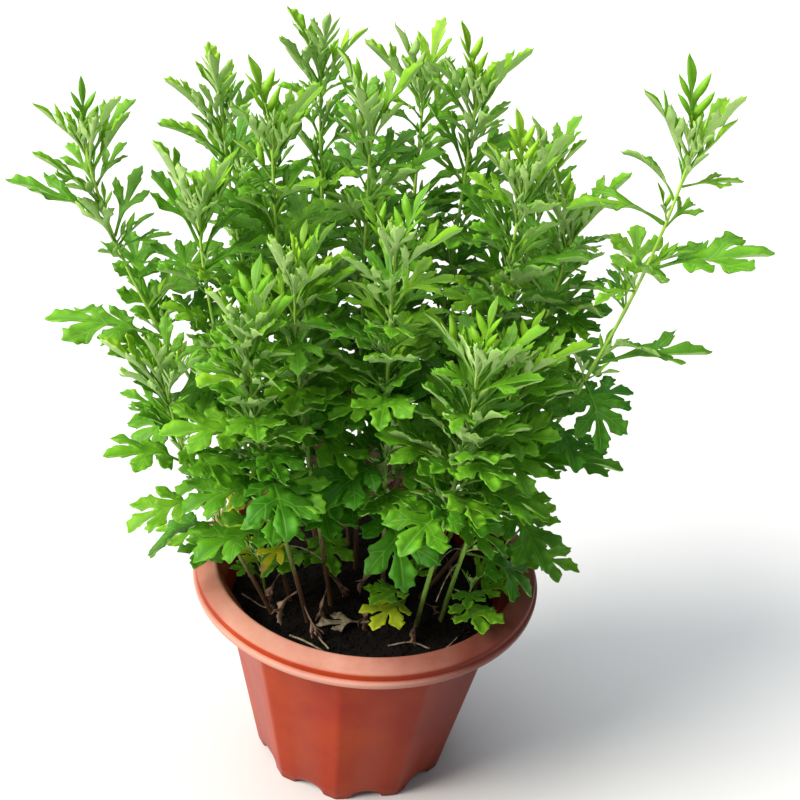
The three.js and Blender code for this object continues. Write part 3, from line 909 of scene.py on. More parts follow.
class Stem:
    """One stem's line, which leans out and turns up again, and the leaves on it. Millimetres."""

    steps: int = 5
    foot_radius: float = 2.9
    tip_radius: float = 1.3
    soil_level: float = 138.0

    def __init__(self, place: StemPlace, habit: Habit, seed: int) -> None:
        """Sets the stem's line.

        Args:
            place: Where the stem stands.
            habit: How it bears its leaves.
            seed: The seed of its own draws.
        """
        self.name = place.name
        self.place = place
        self.habit = habit
        self.turn = math.radians(place.turn)
        self.stream = NumberStream(seed)
        start = np.array([*place.foot, self.soil_level + 3.0])
        end = np.array(place.top, float)
        span = end - start
        low = start + np.array([span[0] * place.bow, span[1] * place.bow, span[2] / 3])
        high = end - np.array([span[0] * 0.08, span[1] * 0.08, span[2] / 3])
        self.controls = (start, low, high, end)
        self.length = math.dist(start, end)
        self.leaves: list[Leaf] = []

    def smooth_point(self, t: float) -> np.ndarray:
        """Places a point on the smooth curve.

        Args:
            t: The share of the curve's run.

        Returns:
            The point in mm.
        """
        k = 1 - t
        a, b, c, d = self.controls
        return k * k * k * a + 3 * k * k * t * b + 3 * k * t * t * c + t * t * t * d

    def point(self, t: float) -> np.ndarray:
        """Places a point on the straight stretches between the solid's rings.

        Args:
            t: The share of the stem's height.

        Returns:
            The point in mm.
        """
        step = min(math.floor(t * self.steps), self.steps - 1)
        below = self.smooth_point(step / self.steps)
        above = self.smooth_point((step + 1) / self.steps)
        return below + (above - below) * (t * self.steps - step)

    def radius(self, t: float) -> float:
        """Radius of the solid at a share of its height."""
        return self.habit.thickness * ((1 - t) * self.foot_radius + t * self.tip_radius)

    def root(self, share: float, turn: float, depth: float) -> np.ndarray:
        """Places a leaf's root at a share of the height, a share of the radius out from the middle."""
        return self.point(share) + depth * self.radius(share) * heading(turn)


class Plant:
    """All the stems and their leaves, grown by the same rule as the solids."""

    root_depth: float = 0.35
    steepest: float = 1.45
    rim_zone: float = 96.0
    over_rim: float = 169.0
    over_soil: float = 147.0

    def __init__(self) -> None:
        """Grows the plant."""
        self.stems = [Stem(place, TALL_HABIT, 101 + i) for i, place in enumerate(TALL_STEMS)]
        self.stems += [Stem(place, SHORT_HABIT, 501 + i) for i, place in enumerate(SHORT_SHOOTS)]
        self.surroundings = Surroundings()
        for stem in self.stems:
            steps = math.ceil(stem.length / 4)
            line = np.array([stem.point(step / steps) for step in range(steps + 1)])
            self.surroundings.add(line, stem.name, STEM_CLEARANCE)
        for stem in self.stems:
            for wish in self.tuft(stem):
                self.set_leaf(stem, wish, 0.0)
        for stem in self.stems:
            for wish in self.side_leaves(stem):
                self.set_leaf(stem, wish, OWN_CLEARANCE)

    def tuft(self, stem: Stem) -> list[LeafWish]:
        """Lists the young leaves that stand up round a stem's tip.

        Args:
            stem: The stem.

        Returns:
            Where they would grow.
        """
        wishes = []
        for i, kind in enumerate(stem.habit.tuft):
            share = i / len(stem.habit.tuft)
            rise = (1 - share) * 0.85 + share * 1.35 + (stem.stream.draw() - 0.5) * 0.1
            length = stem.habit.tuft_length * (0.85 + 0.3 * stem.stream.draw())
            bend = 0.15 + 0.3 * stem.stream.draw()
            roll = (stem.stream.draw() - 0.5) * 0.3
            turn = stem.turn + 1 + i * GOLDEN_TURN
            wishes.append(LeafWish(kind, 0.955 + 0.03 * share, turn, rise, length, bend, roll))
        return wishes

    def side_leaves(self, stem: Stem) -> list[LeafWish]:
        """Lists the leaves up a stem: the chosen ones, or a spiral.

        Args:
            stem: The stem.

        Returns:
            Where they would grow.
        """
        if stem.place.chosen:
            return [
                LeafWish(kind, t, math.radians(turn), math.radians(rise), length, math.radians(bend))
                for kind, t, turn, rise, length, bend in stem.place.chosen
            ]
        return [self.spiral_leaf(stem, i) for i in range(stem.place.leaf_count)]

    def spiral_leaf(self, stem: Stem, i: int) -> LeafWish:
        """Works out a leaf of the spiral: broad and drooping low down, narrower and steeper above.

        Args:
            stem: The stem.
            i: The leaf's number, from the lowest.

        Returns:
            Where it would grow.
        """
        habit, draw = stem.habit, stem.stream.draw
        share = i / (stem.place.leaf_count - 1)
        lowest = habit.lowest if stem.place.lowest is None else stem.place.lowest
        rise_share = share ** 0.85
        t = (1 - rise_share) * lowest + rise_share * habit.highest + (draw() - 0.5) * 0.02
        kind = BROAD if share < habit.broad_below else TRIDENT
        turn = stem.turn + i * GOLDEN_TURN + (draw() - 0.5) * 0.5
        rise = (1 - share) * habit.rises[0] + share * habit.rises[1] + (draw() - 0.5) * 0.3
        length = ((1 - share) * habit.lengths[0] + share * habit.lengths[1]) * (0.9 + 0.2 * draw())
        bend = ((1 - share) * habit.bends[0] + share * habit.bends[1]) * (0.8 + 0.5 * draw())
        return LeafWish(kind, t, turn, rise, length, bend, (draw() - 0.5) * 0.5)

    def clears(self, leaf: Leaf, stem: Stem, own: float, slack: float = 1.0) -> bool:
        """Tells whether a leaf lies clear of the pot, the soil and the foliage placed so far.

        Args:
            leaf: The leaf.
            stem: The stem that it is on.
            own: How far it keeps from that stem's other leaves, in mm.
            slack: The share that it keeps of its clearance from other stems' foliage.

        Returns:
            True if it is clear.
        """
        us, points = leaf.samples()
        slope = OPEN_SLOPE if stem.habit.keeps_open else 0.0
        for u, point in zip(us.tolist(), points.tolist()):
            floor = self.over_rim if math.hypot(point[0], point[1]) > self.rim_zone else self.over_soil
            if u >= 0.2 and point[2] <= max(floor, Stem.soil_level + slope * (OPEN_FROM - point[1])):
                return False
            if not self.surroundings.clear(point, stem.name, 0.0 if u < 0.35 else own, slack):
                return False
        return True

    def set_leaf(self, stem: Stem, wish: LeafWish, own: float) -> None:
        """Sets a leaf on its stem, turned aside where it would cross other foliage, or leaves it out.

        Args:
            stem: The stem.
            wish: Where the leaf would grow.
            own: How far it keeps from the stem's other leaves, in mm.
        """
        for swing, lift, shrink in EVASIONS:
            turn = wish.turn + math.radians(swing)
            root = stem.root(wish.share, turn, self.root_depth)
            rise = min(wish.rise + math.radians(lift), self.steepest)
            leaf = Leaf(wish, root, turn, rise, wish.length * shrink)
            if self.clears(leaf, stem, own):
                self.surroundings.add(leaf.samples()[1], stem.name, LEAF_CLEARANCE)
                stem.leaves.append(leaf)
                return


# Leaves as thin two-faced blades


@dataclass(frozen=True)
class LeafSheet:
    """A leaf cut out flat: points as shares of its length, triangles, border edges, vein gaps and margin."""

    u: np.ndarray
    v: np.ndarray
    faces: np.ndarray
    border: np.ndarray
    vein_gap: np.ndarray
    margin: np.ndarray


@dataclass(frozen=True)
class Lobe:
    """A lobe of a leaf: where it leaves the midrib, its lean in degrees, and its shares of the leaf."""

    foot: float
    lean: float
    length: float
    width: float

    def place(self, run: float, off: float) -> tuple[float, float]:
        """Places a point of the lobe on the leaf.

        Args:
            run: The share of the lobe's length.
            off: The share of its width, towards the leaf's foot.

        Returns:
            The place along and across the leaf, as shares of the leaf's length.
        """
        lean = math.radians(self.lean)
        along, across = run * self.length, off * self.width
        return (
            self.foot + math.cos(lean) * along - math.sin(lean) * across,
            math.sin(lean) * along + math.cos(lean) * across,
        )


# Half a lobe's outline: a narrow neck, a side tooth and the blunt tip, as shares of its length and width
TOOTHED_SIDE = ((0.2, 0.5), (0.42, 0.62), (0.62, 1.0), (0.67, 0.68), (0.84, 0.78), (0.88, 0.42), (1.0, 0.1))
PLAIN_SIDE = ((0.15, 0.7), (0.42, 1.0), (0.72, 0.72), (1.0, 0.06))


@dataclass(frozen=True)
class LeafPattern:
    """A leaf's stalk, lobes from the lowest up, and end lobe, as shares of its length."""

    stalk: tuple[tuple[float, float], ...]
    lobes: tuple[Lobe, ...]
    end: Lobe
    side: tuple[tuple[float, float], ...]
    spacing: float
    unevenness: float = 0.01
    rounds: int = 1
    veined: bool = True

    def half(self) -> list[tuple[float, float]]:
        """Lists one half of the outline, from the foot to the tip.

        Returns:
            Places along and across the leaf, as shares of its length.
        """
        line = list(self.stalk)
        for lobe in self.lobes:
            line += [lobe.place(run, off) for run, off in self.side]
            line += [lobe.place(run, -0.85 * off) for run, off in self.side[::-1]]
        line += [self.end.place(run, off) for run, off in self.side[1:]]
        return [*line, (1.01, 0.0)]

    def outline(self, draw: np.random.Generator) -> np.ndarray:
        """Mirrors the half outline, makes it a little uneven and rounds its corners.

        Args:
            draw: The source of its unevenness.

        Returns:
            The closed outline's points, counter-clockwise.
        """
        half = np.array(self.half())
        give = np.clip(half[:, 1:] / 0.1, 0, 1) * self.unevenness
        near = half + draw.normal(0, 1, half.shape) * give
        far = (half + draw.normal(0, 1, half.shape) * give) * (1, -1)
        loop = np.concatenate([far, near[::-1]])
        loop = loop[np.any(np.abs(loop - np.roll(loop, 1, axis=0)) > 1e-9, axis=1)]
        for _ in range(self.rounds):
            after = np.roll(loop, -1, axis=0)
            loop = np.stack([0.75 * loop + 0.25 * after, 0.25 * loop + 0.75 * after], axis=1)
            loop = loop.reshape(-1, 2)
        return loop

    def vein_lines(self) -> list[np.ndarray]:
        """Lists the midrib, each lobe's vein and the side veins to its teeth, as lines of close points.

        Returns:
            The lines' points, as shares of the leaf's length.
        """
        lines = [((0.03, 0.0), (0.96, 0.0))]
        for lobe in self.lobes if self.veined else ():
            for start, run, off in ((0.0, 0.9, 0.0), (0.4, 0.64, 0.72), (0.45, 0.66, -0.62)):
                ends = np.array([lobe.place(start, 0.0), lobe.place(run, off)])
                lines += [ends, ends * (1, -1)]
        fine = []
        for start, end in np.array(lines):
            steps = max(1, round(math.dist(start, end) / self.spacing))
            fine.append(np.array([start + (end - start) * i / steps for i in range(steps + 1)]))
        return fine

    def cut(self, seed: int) -> LeafSheet:
        """Cuts one leaf out.

        Args:
            seed: Which leaf of the pattern it is.

        Returns:
            The flat leaf.
        """
        loop = self.outline(np.random.default_rng(seed))
        lines = self.vein_lines()
        rows = np.arange(-0.5, 0.5, self.spacing * 0.87)
        grid = np.array([
            (u + 0.5 * self.spacing * (i % 2), v)
            for i, v in enumerate(rows) for u in np.arange(0.0, 1.0, self.spacing)
        ])
        grid = grid[inside(grid, loop) & (gap_to(grid, loop, True) > 0.5 * self.spacing)]
        for line in lines:
            grid = grid[gap_to(grid, line, False) > 0.5 * self.spacing]
        veins = np.concatenate(lines)
        starts = np.cumsum([0] + [len(line) for line in lines]) + len(loop)
        edges = [
            (start + i, start + i + 1)
            for start, line in zip(starts.tolist(), lines) for i in range(len(line) - 1)
        ]
        border = [list(range(len(loop)))]
        for final in (False, True):
            coords = [Vector(p) for p in (*loop, *veins, *grid)]
            made, _, faces, sources, _, _ = delaunay_2d_cdt(coords, edges, border, 1, 1e-5)
            flat = np.array([tuple(p) for p in made])
            faces = np.array([face for face in faces if len(face) == 3])
            gaps = np.min([gap_to(flat, line, False) for line in lines], axis=0)
            if not final:
                # An edge that joins two veins is split, so that the blade between them isn't marked as vein
                ends = np.concatenate([faces[:, (0, 1)], faces[:, (1, 2)], faces[:, (2, 0)]])
                ends = ends[(gaps[ends] < 1e-4).all(axis=1)]
                middles = (flat[ends[:, 0]] + flat[ends[:, 1]]) / 2
                apart = np.min([gap_to(middles, line, False) for line in lines], axis=0) > 0.12 * self.spacing
                grid = np.concatenate([grid, np.unique(middles[apart].round(5), axis=0)])
        margin = np.array([any(s < len(loop) for s in source) for source in sources], float)
        seen = {(a, b) for face in faces.tolist() for a, b in zip(face, face[1:] + face[:1])}
        edge = np.array([(a, b) for a, b in seen if (b, a) not in seen])
        return LeafSheet(flat[:, 0], flat[:, 1], faces, edge, gaps, margin)


def inside(points: np.ndarray, loop: np.ndarray) -> np.ndarray:
    """Tells which points lie inside a closed outline.

    Args:
        points: The points.
        loop: The outline's points.

    Returns:
        True for each point inside.
    """
    found = np.zeros(len(points), bool)
    for (x0, y0), (x1, y1) in zip(loop, np.roll(loop, -1, axis=0)):
        crosses = (y0 > points[:, 1]) != (y1 > points[:, 1])
        if y0 != y1:
            found ^= crosses & (points[:, 0] < x0 + (points[:, 1] - y0) * (x1 - x0) / (y1 - y0))
    return found


def gap_to(points: np.ndarray, line: np.ndarray, closed: bool) -> np.ndarray:
    """Measures how far points lie from a line.

    Args:
        points: The points.
        line: The line's points.
        closed: Whether the line runs on from its last point to its first.

    Returns:
        Each point's distance to the nearest stretch.
    """
    ends = np.roll(line, -1, axis=0) if closed else line[1:]
    nearest = np.full(len(points), np.inf)
    for start, end in zip(line, ends):
        run = end - start
        share = np.clip(((points - start) @ run) / max(run @ run, 1e-12), 0, 1)
        nearest = np.minimum(nearest, np.linalg.norm(points - start - share[:, None] * run, axis=1))
    return nearest


BROAD_PATTERN = LeafPattern(
    stalk=((0.0, 0.014), (0.1, 0.012), (0.2, 0.015), (0.27, 0.03)),
    lobes=(Lobe(0.29, 60.0, 0.41, 0.12), Lobe(0.5, 50.0, 0.48, 0.135)),
    end=Lobe(0.6, 0.0, 0.41, 0.15),
    side=TOOTHED_SIDE,
    spacing=0.06,
)
TRIDENT_PATTERN = LeafPattern(
    stalk=((0.0, 0.016), (0.14, 0.016), (0.28, 0.028), (0.36, 0.05)),
    lobes=(Lobe(0.38, 38.0, 0.45, 0.085),),
    end=Lobe(0.5, 0.0, 0.51, 0.115),
    side=TOOTHED_SIDE,
    spacing=0.075,
)
LANCE_PATTERN = LeafPattern(
    stalk=((0.0, 0.02), (0.16, 0.026), (0.3, 0.036)),
    lobes=(Lobe(0.33, 44.0, 0.34, 0.05), Lobe(0.5, 38.0, 0.34, 0.055)),
    end=Lobe(0.58, 0.0, 0.43, 0.07),
    side=PLAIN_SIDE,
    spacing=0.11,
    unevenness=0.005,
    veined=False,
)
BUD_PATTERN = LeafPattern(
    stalk=((0.0, 0.02), (0.26, 0.03)),
    lobes=(Lobe(0.35, 42.0, 0.42, 0.07),),
    end=Lobe(0.46, 0.0, 0.54, 0.085),
    side=PLAIN_SIDE,
    spacing=0.24,
    rounds=0,
    veined=False,
)


@dataclass(frozen=True)
class LeafLook:
    """How a leaf differs from its fellows: the marks for its finish, and how it folds, curls and waves."""

    age: float
    tint: float
    fade: float = 0.0
    fade_tip: float = 0.0
    fold: float = FOLD
    curl: float = 0.35
    wave: float = 0.016
    phase: float = 0.0
    width: float = 1.0


@dataclass
class LeafPress:
    """Makes thin, veined, two-faced blades from cut leaves. Thicknesses in mm."""

    variants: int = 5
    blade_half: float = 0.2
    stalk_half: float = 0.75
    stalk_share: float = 0.24
    ridge: float = 0.5
    puff: float = 0.042
    puff_reach: float = 0.05
    rib_reach: float = 0.06
    midrib_gain: float = 0.14
    midrib_width: float = 1e-4
    stalk_width: float = 0.04
    fold_softness: float = 0.03
    waves: float = 2.3
    wave_offset: float = 1.3
    wave_from: float = 0.2
    ripple: float = 0.01
    margin_fade: float = 0.12
    full_length: float = 60.0
    blade: int = 0
    felt: int = 1

    def __post_init__(self) -> None:
        """Cuts a few leaves of each kind."""
        patterns = {
            BROAD: BROAD_PATTERN, TRIDENT: TRIDENT_PATTERN, LANCE: LANCE_PATTERN, LeafKind.BUD: BUD_PATTERN,
        }
        self.sheets = {
            kind: [pattern.cut(40 + i) for i in range(self.variants)] for kind, pattern in patterns.items()
        }

    def add(self, parts: MeshParts, leaf: Leaf, look: LeafLook, variant: int) -> None:
        """Adds a leaf's two faces and its edge.

        Args:
            parts: The mesh that it becomes part of.
            leaf: Its place and form.
            look: Its own marks and folds.
            variant: Which of the cut leaves it is.
        """
        sheet = self.sheets[leaf.kind][variant % self.variants]
        u, v, length = sheet.u, sheet.v * look.width, leaf.length
        scale = min(1.0, length / self.full_length)
        out = np.abs(v)
        folded = np.hypot(out, self.fold_softness) - self.fold_softness
        swell = np.sin(2 * math.pi * (self.waves * u + look.phase) + self.wave_offset * np.sign(v))
        rippled = np.sin(9 * u + 5 * look.phase) * np.cos(11 * v + 7 * look.phase)
        lift = length * math.sin(look.fold) * folded
        lift -= length * look.curl * out ** 2
        lift += length * look.wave * swell * np.clip(out / self.wave_from, 0, 1)
        lift += length * self.ripple * rippled
        # The blade swells up between its veins
        puffed = 1 - np.exp(-(sheet.vein_gap / self.puff_reach) ** 2)
        lift += length * self.puff * puffed
        rib = np.clip(1 - sheet.vein_gap / self.rib_reach, 0, 1)
        rib *= 1 + self.midrib_gain * (1 - u) * (out < self.midrib_width)
        stalk = np.clip(1 - u / self.stalk_share, 0, 1) * (out < self.stalk_width)
        half = self.blade_half + self.stalk_half * stalk
        side = v * math.cos(look.fold)
        top = leaf.spread(u, v, lift + scale * half, side)
        under = leaf.spread(u, v, lift - scale * (half + self.ridge * rib), side)
        tip_fade = look.fade_tip * np.clip(u * 1.6 - 0.6, 0, 1)
        fade = np.clip(look.fade + tip_fade + self.margin_fade * look.fade_tip * sheet.margin, 0, 1)
        marks = {"age": look.age, "tint": look.tint, "rib": rib, "fade": fade}
        first = parts.add(top * MM, sheet.faces, self.blade, **marks)
        second = parts.add(under * MM, sheet.faces[:, ::-1], self.felt, **marks)
        a, b = sheet.border[:, 0], sheet.border[:, 1]
        parts.add_faces(np.stack([b + first, a + first, a + second, b + second], axis=1), self.blade, False)


# Stems, drawn along their lines by Geometry Nodes


def start_tree(name: str, inputs: dict[str, str]) -> tuple[NodeTree, bpy.types.NodeOutputs]:
    """Starts a Geometry Nodes tree that takes a mesh and a material.

    Args:
        name: The tree's name.
        inputs: The kinds of its other inputs, by name.

    Returns:
        The tree, and the sockets that give its inputs.
    """
    tree = bpy.data.node_groups.new(name, "GeometryNodeTree")
    for label, kind in {"Geometry": "Geometry", **inputs, "Material": "Material"}.items():
        tree.interface.new_socket(label, in_out="INPUT", socket_type=f"NodeSocket{kind}")
    tree.interface.new_socket("Geometry", in_out="OUTPUT", socket_type="NodeSocketGeometry")
    return tree, add_node(tree, "NodeGroupInput").outputs


def end_tree(tree: NodeTree, made: Node, material: NodeSocket) -> None:
    """Ends a Geometry Nodes tree with plain geometry in its material.

    Args:
        tree: The tree.
        made: The node that gives what it made.
        material: The socket that gives the material.
    """
    realized = add_node(tree, "GeometryNodeRealizeInstances", {}, {"Geometry": made})
    finished = add_node(tree, "GeometryNodeSetMaterial", {}, {"Geometry": realized, "Material": material})
    add_node(tree, "NodeGroupOutput", {}, {"Geometry": finished})


def run_tree(tree: NodeTree, mesh: Mesh, settings: dict) -> Mesh:
    """Runs a Geometry Nodes tree on a mesh.

    Args:
        tree: The tree.
        mesh: The mesh.
        settings: The tree's inputs by name. They are set by the identifiers of the sockets with these names.

    Returns:
        The result as a plain mesh.
    """
    carrier = link(bpy.data.objects.new("carrier", mesh))
    modifier = carrier.modifiers.new("tree", "NODES")
    modifier.node_group = tree
    for item in tree.interface.items_tree:
        if item.in_out == "INPUT" and item.name in settings:
            modifier[item.identifier] = settings[item.name]
    made = applied(carrier)
    bpy.data.objects.remove(carrier)
    return made


@dataclass
class RibbedTubes:
    """A node tree that draws a ribbed tube of changing thickness along each line of a mesh."""

    sides: int = 12
    rib_depth: float = 0.1

    def __post_init__(self) -> None:
        """Keeps one tree for all the tubes."""
        self.ribbing = self.tree()

    def tree(self) -> NodeTree:
        """Builds the tree, with its sizes as named inputs.

        Returns:
            The tree.
        """
        tree, given = start_tree("ribbed_tube", {"Sides": "Int", "Rib depth": "Float"})
        line = add_node(tree, "GeometryNodeMeshToCurve", {}, {"Mesh": given["Geometry"]})
        thickness = add_node(
            tree, "GeometryNodeInputNamedAttribute", {"data_type": "FLOAT", "Name": "thickness"},
        )
        section = add_node(
            tree, "GeometryNodeCurvePrimitiveCircle", {"Radius": 1.0}, {"Resolution": given["Sides"]},
        )
        # Every other point of the section is drawn in, which leaves ribs between them
        index = add_node(tree, "GeometryNodeInputIndex")
        position = add_node(tree, "GeometryNodeInputPosition")
        odd = add_node(tree, "ShaderNodeMath", {"operation": "MODULO", 1: 2.0}, {0: index})
        drawn_in = add_node(
            tree, "ShaderNodeMath", {"operation": "MULTIPLY"}, {0: odd, 1: given["Rib depth"]},
        )
        share = add_node(tree, "ShaderNodeMath", {"operation": "SUBTRACT", 0: 1.0}, {1: drawn_in})
        scaled = add_node(
            tree, "ShaderNodeVectorMath", {"operation": "SCALE"}, {0: position, "Scale": share},
        )
        ribbed = add_node(tree, "GeometryNodeSetPosition", {}, {"Geometry": section, "Position": scaled})
        tube = add_node(
            tree, "GeometryNodeCurveToMesh", {"Fill Caps": True},
            {"Curve": line, "Profile Curve": ribbed, "Scale": thickness},
        )
        end_tree(tree, tube, given["Material"])
        return tree

    def draw(
        self, lines: list[np.ndarray], radii: list[np.ndarray], ages: list[np.ndarray],
        material: Material,
    ) -> Mesh:
        """Draws tubes along lines.

        Args:
            lines: Each line's points, in metres.
            radii: Each line's radius at each point, in metres.
            ages: Each line's age mark at each point.
            material: The tubes' material.

        Returns:
            A plain mesh of the closed tubes.
        """
        mesh = bpy.data.meshes.new("line")
        edges = []
        first = 0
        for line in lines:
            edges.extend((first + i, first + i + 1) for i in range(len(line) - 1))
            first += len(line)
        mesh.from_pydata(np.concatenate(lines).tolist(), edges, [])
        for name, values in (("thickness", radii), ("age", ages)):
            layer = mesh.attributes.new(name, "FLOAT", "POINT")
            layer.data.foreach_set("value", np.concatenate(values).astype(np.float32))
        settings = {"Sides": self.sides, "Rib depth": self.rib_depth, "Material": material}
        return run_tree(self.ribbing, mesh, settings)


# The small low leaves over the soil: stem, kind, share of its height, turn, rise, length and bend, and then
# the fading all over and at the tip
LOW_LEAVES = (
    ("stem_left_front", TRIDENT, 0.31, 252, 24, 36, 50, 0.32, 0.62),
    ("stem_left_outer", TRIDENT, 0.25, 185, -28, 36, 30, 0.12, 0.5),
    ("stem_left_outer", TRIDENT, 0.3, 205, -38, 30, 40, 0.2, 0.3),
    ("stem_left_outer", TRIDENT, 0.36, 200, -55, 26, 20, 0.86, 0.3),
    ("stem_left_outer", BROAD, 0.11, 225, 8, 44, 35, 0.0, 0.0),
    ("stem_left_inner", BROAD, 0.12, 290, 8, 46, 35, 0.0, 0.0),
    ("stem_left_inner", TRIDENT, 0.08, 255, 20, 34, 30, 0.0, 0.0),
)
# Other yellowing leaves: stem and number of the leaf on it, then fading all over and at the tip
YELLOWING = {
    ("shoot_front", 2): (0.17, 0.08), ("shoot_front_left", 3): (0.12, 0.2), ("shoot_left", 2): (0.06, 0.1),
}


@dataclass
class Foliage:
    """The leafy stems: ribbed tubes, the leaves of the growth rule, and the young growth between them."""

    plant: Plant
    press: LeafPress
    tubes: RibbedTubes
    finishes: list[Material]
    bark: int = 2
    line_points: int = 56
    rooted: float = 16.0
    slimness: float = 0.6
    node_swell: float = 0.22
    node_width: float = 0.013
    fillers: int = 30
    filler_lowest: float = 0.3
    filler_highest: float = 0.93
    filler_broad_below: float = 0.76
    filler_length: float = 58.0
    filler_taper: float = 19.0
    filler_spread: float = 12.0
    filler_clearance: float = 2.0
    filler_slack: float = 0.33
    filler_swings: tuple[float, ...] = (0.0, 0.7, -0.7, 1.5, -1.5, 2.4)
    lowest_filler: float = 205.0
    skirt_radius: float = 60.0
    skirt_slope: float = 0.8
    young_from: float = 0.95
    young_depth: float = 0.3
    green_footed: tuple[str, ...] = ("stem_front_right", "stem_right_low", "stem_right_middle")
    sparse: dict[str, int] = field(default_factory=lambda: {
        "stem_left_outer": 9, "stem_right_outer": 9, "stem_left_middle": 12, "stem_left_back": 14,
        "stem_left_low": 12,
    })
    seed: int = 7

    def __post_init__(self) -> None:
        """Starts the seeded draws for what the growth rule leaves open."""
        self.random = np.random.default_rng(self.seed)

    def low_leaves(self, stem: Stem) -> list[tuple[Leaf, LeafLook]]:
        """Lists a stem's small low leaves, some yellow and some browned at their tips.

        Args:
            stem: The stem.

        Returns:
            The leaves and their looks.
        """
        found = []
        for i, (name, kind, share, turn, rise, length, bend, fade, fade_tip) in enumerate(LOW_LEAVES):
            if name == stem.name:
                turn, rise, bend = (math.radians(angle) for angle in (turn, rise, bend))
                wish = LeafWish(kind, share, turn, rise, length, bend)
                look = LeafLook(0.5, 0.5, fade, fade_tip, fold=0.5, curl=0.8, wave=0.05, phase=0.3 * i)
                found.append((Leaf(wish, stem.point(share), turn, rise, length), look))
        return found

    def look(self, stem: Stem, leaf: Leaf, number: int) -> LeafLook:
        """Works out a leaf's own look from its place on its stem.

        Args:
            stem: The stem.
            leaf: The leaf.
            number: Its number on the stem, or -1 where its solid lacks it.

        Returns:
            The look.
        """
        young = leaf.share >= self.young_from
        if stem.habit is TALL_HABIT:
            age = 0.3 if young else float(np.clip(1.0 - 0.6 * leaf.share, 0, 1))
        else:
            age = 0.45
        fade, fade_tip = YELLOWING.get((stem.name, number), (0.0, 0.0))
        draw = self.random.random(5)
        return LeafLook(
            age=float(np.clip(age + 0.24 * (draw[0] - 0.5), 0, 1)),
            tint=draw[1],
            fade=fade,
            fade_tip=fade_tip,
            fold=(0.5 if young else 0.32) + 0.2 * (draw[2] - 0.5),
            curl=0.1 if young else 0.3 + 0.7 * draw[3],
            wave=0.012 if young else 0.028,
            phase=draw[4],
        )

    def young_look(self, leaf: Leaf) -> LeafLook:
        """Works out the look of one of the youngest leaves: folded, narrow, and palest at the stem's tip.

        Args:
            leaf: The leaf.

        Returns:
            The look.
        """
        draw = self.random.random(4)
        age = max(0.0, 5 * (0.99 - leaf.share)) if leaf.share >= 0.93 else 0.35
        return LeafLook(
            age=age + 0.15 * draw[0],
            tint=draw[1],
            fold=0.6 + 0.25 * draw[2],
            curl=0.1,
            wave=0.01,
            phase=draw[3],
            width=0.92,
        )

    def on_curve(self, stem: Stem, leaf: Leaf) -> Leaf:
        """Moves a leaf from the solid's straight stretches onto the smooth curve."""
        leaf.root = leaf.root + stem.smooth_point(leaf.share) - stem.point(leaf.share)
        return leaf

    def filler_leaves(self, stem: Stem) -> list[Leaf]:
        """Grows more leaves in the room that the solid's few leaves leave on a tall stem.

        Args:
            stem: The stem. The outer ones stay sparse.

        Returns:
            The leaves that found room.
        """
        grown = []
        lowest = stem.place.lowest or self.filler_lowest
        count = self.sparse.get(stem.name, self.fillers)
        for i in range(count):
            draw = self.random.random(6)
            share = lowest + (self.filler_highest - lowest) * (i + draw[0]) / count
            turn = stem.turn + 2.0 + i * GOLDEN_TURN + draw[1]
            kind = BROAD if share < self.filler_broad_below else TRIDENT
            length = self.filler_length - self.filler_taper * share + self.filler_spread * (draw[2] - 0.5)
            bend, roll = 0.4 + 0.8 * draw[3], 1.4 * (draw[4] - 0.5)
            wish = LeafWish(kind, share, turn, 0.7 * share, length, bend, roll)
            for swing in self.filler_swings:
                root = stem.root(share, turn + swing, self.plant.root_depth)
                leaf = Leaf(wish, root, turn + swing, wish.rise + 0.7 * draw[5], length)
                x, y, z = leaf.samples()[1].T
                beyond = np.clip(np.hypot(x, y) - self.skirt_radius, 0, None)
                above = (z > self.lowest_filler + self.skirt_slope * beyond).all()
                if above and self.plant.clears(leaf, stem, self.filler_clearance, self.filler_slack):
                    self.plant.surroundings.add(leaf.samples()[1], stem.name, LEAF_CLEARANCE)
                    grown.append(leaf)
                    break
        return grown

    def axil_leaves(self, stem: Stem) -> list[Leaf]:
        """Grows small young leaves in the angle between each side leaf and the stem.

        Args:
            stem: The stem.

        Returns:
            The leaves.
        """
        grown = []
        for leaf in stem.leaves:
            if leaf.share > 0.94:
                continue
            facing = math.atan2(leaf.along[1], leaf.along[0])
            for _ in range(2 if stem.name in self.sparse else 3):
                draw = self.random.random(5)
                turn = facing + 2.6 * (draw[0] - 0.5)
                rise, bend = 0.65 + 0.6 * draw[2], 0.2 + 0.5 * draw[3]
                length = 14 + 14 * draw[1] + 8 * leaf.share
                wish = LeafWish(LeafKind.BUD, leaf.share, turn, rise, length, bend)
                root = stem.root(min(0.99, leaf.share + 0.01 * draw[4]), turn, self.young_depth)
                grown.append(Leaf(wish, root, turn, rise, length))
        return grown

    def tip_leaves(self, stem: Stem) -> list[Leaf]:
        """Grows the folded youngest leaves inside the tuft at a stem's tip.

        Args:
            stem: The stem.

        Returns:
            The leaves.
        """
        grown = []
        count = 8 if stem.habit is TALL_HABIT else 3
        for i in range(count):
            draw = self.random.random(4)
            share = 0.93 + 0.07 * i / count
            turn = stem.turn + 0.4 + i * GOLDEN_TURN
            rise = 1.02 + 0.45 * i / count + 0.2 * (draw[0] - 0.5)
            length = stem.habit.tuft_length * (0.95 - 0.6 * i / count) * (0.8 + 0.3 * draw[1])
            kind = TRIDENT if draw[2] < 0.6 else LANCE
            wish = LeafWish(kind, share, turn, rise, length, 0.1 + 0.3 * draw[3])
            grown.append(Leaf(wish, stem.root(share, turn, self.young_depth), turn, rise, length))
        return grown

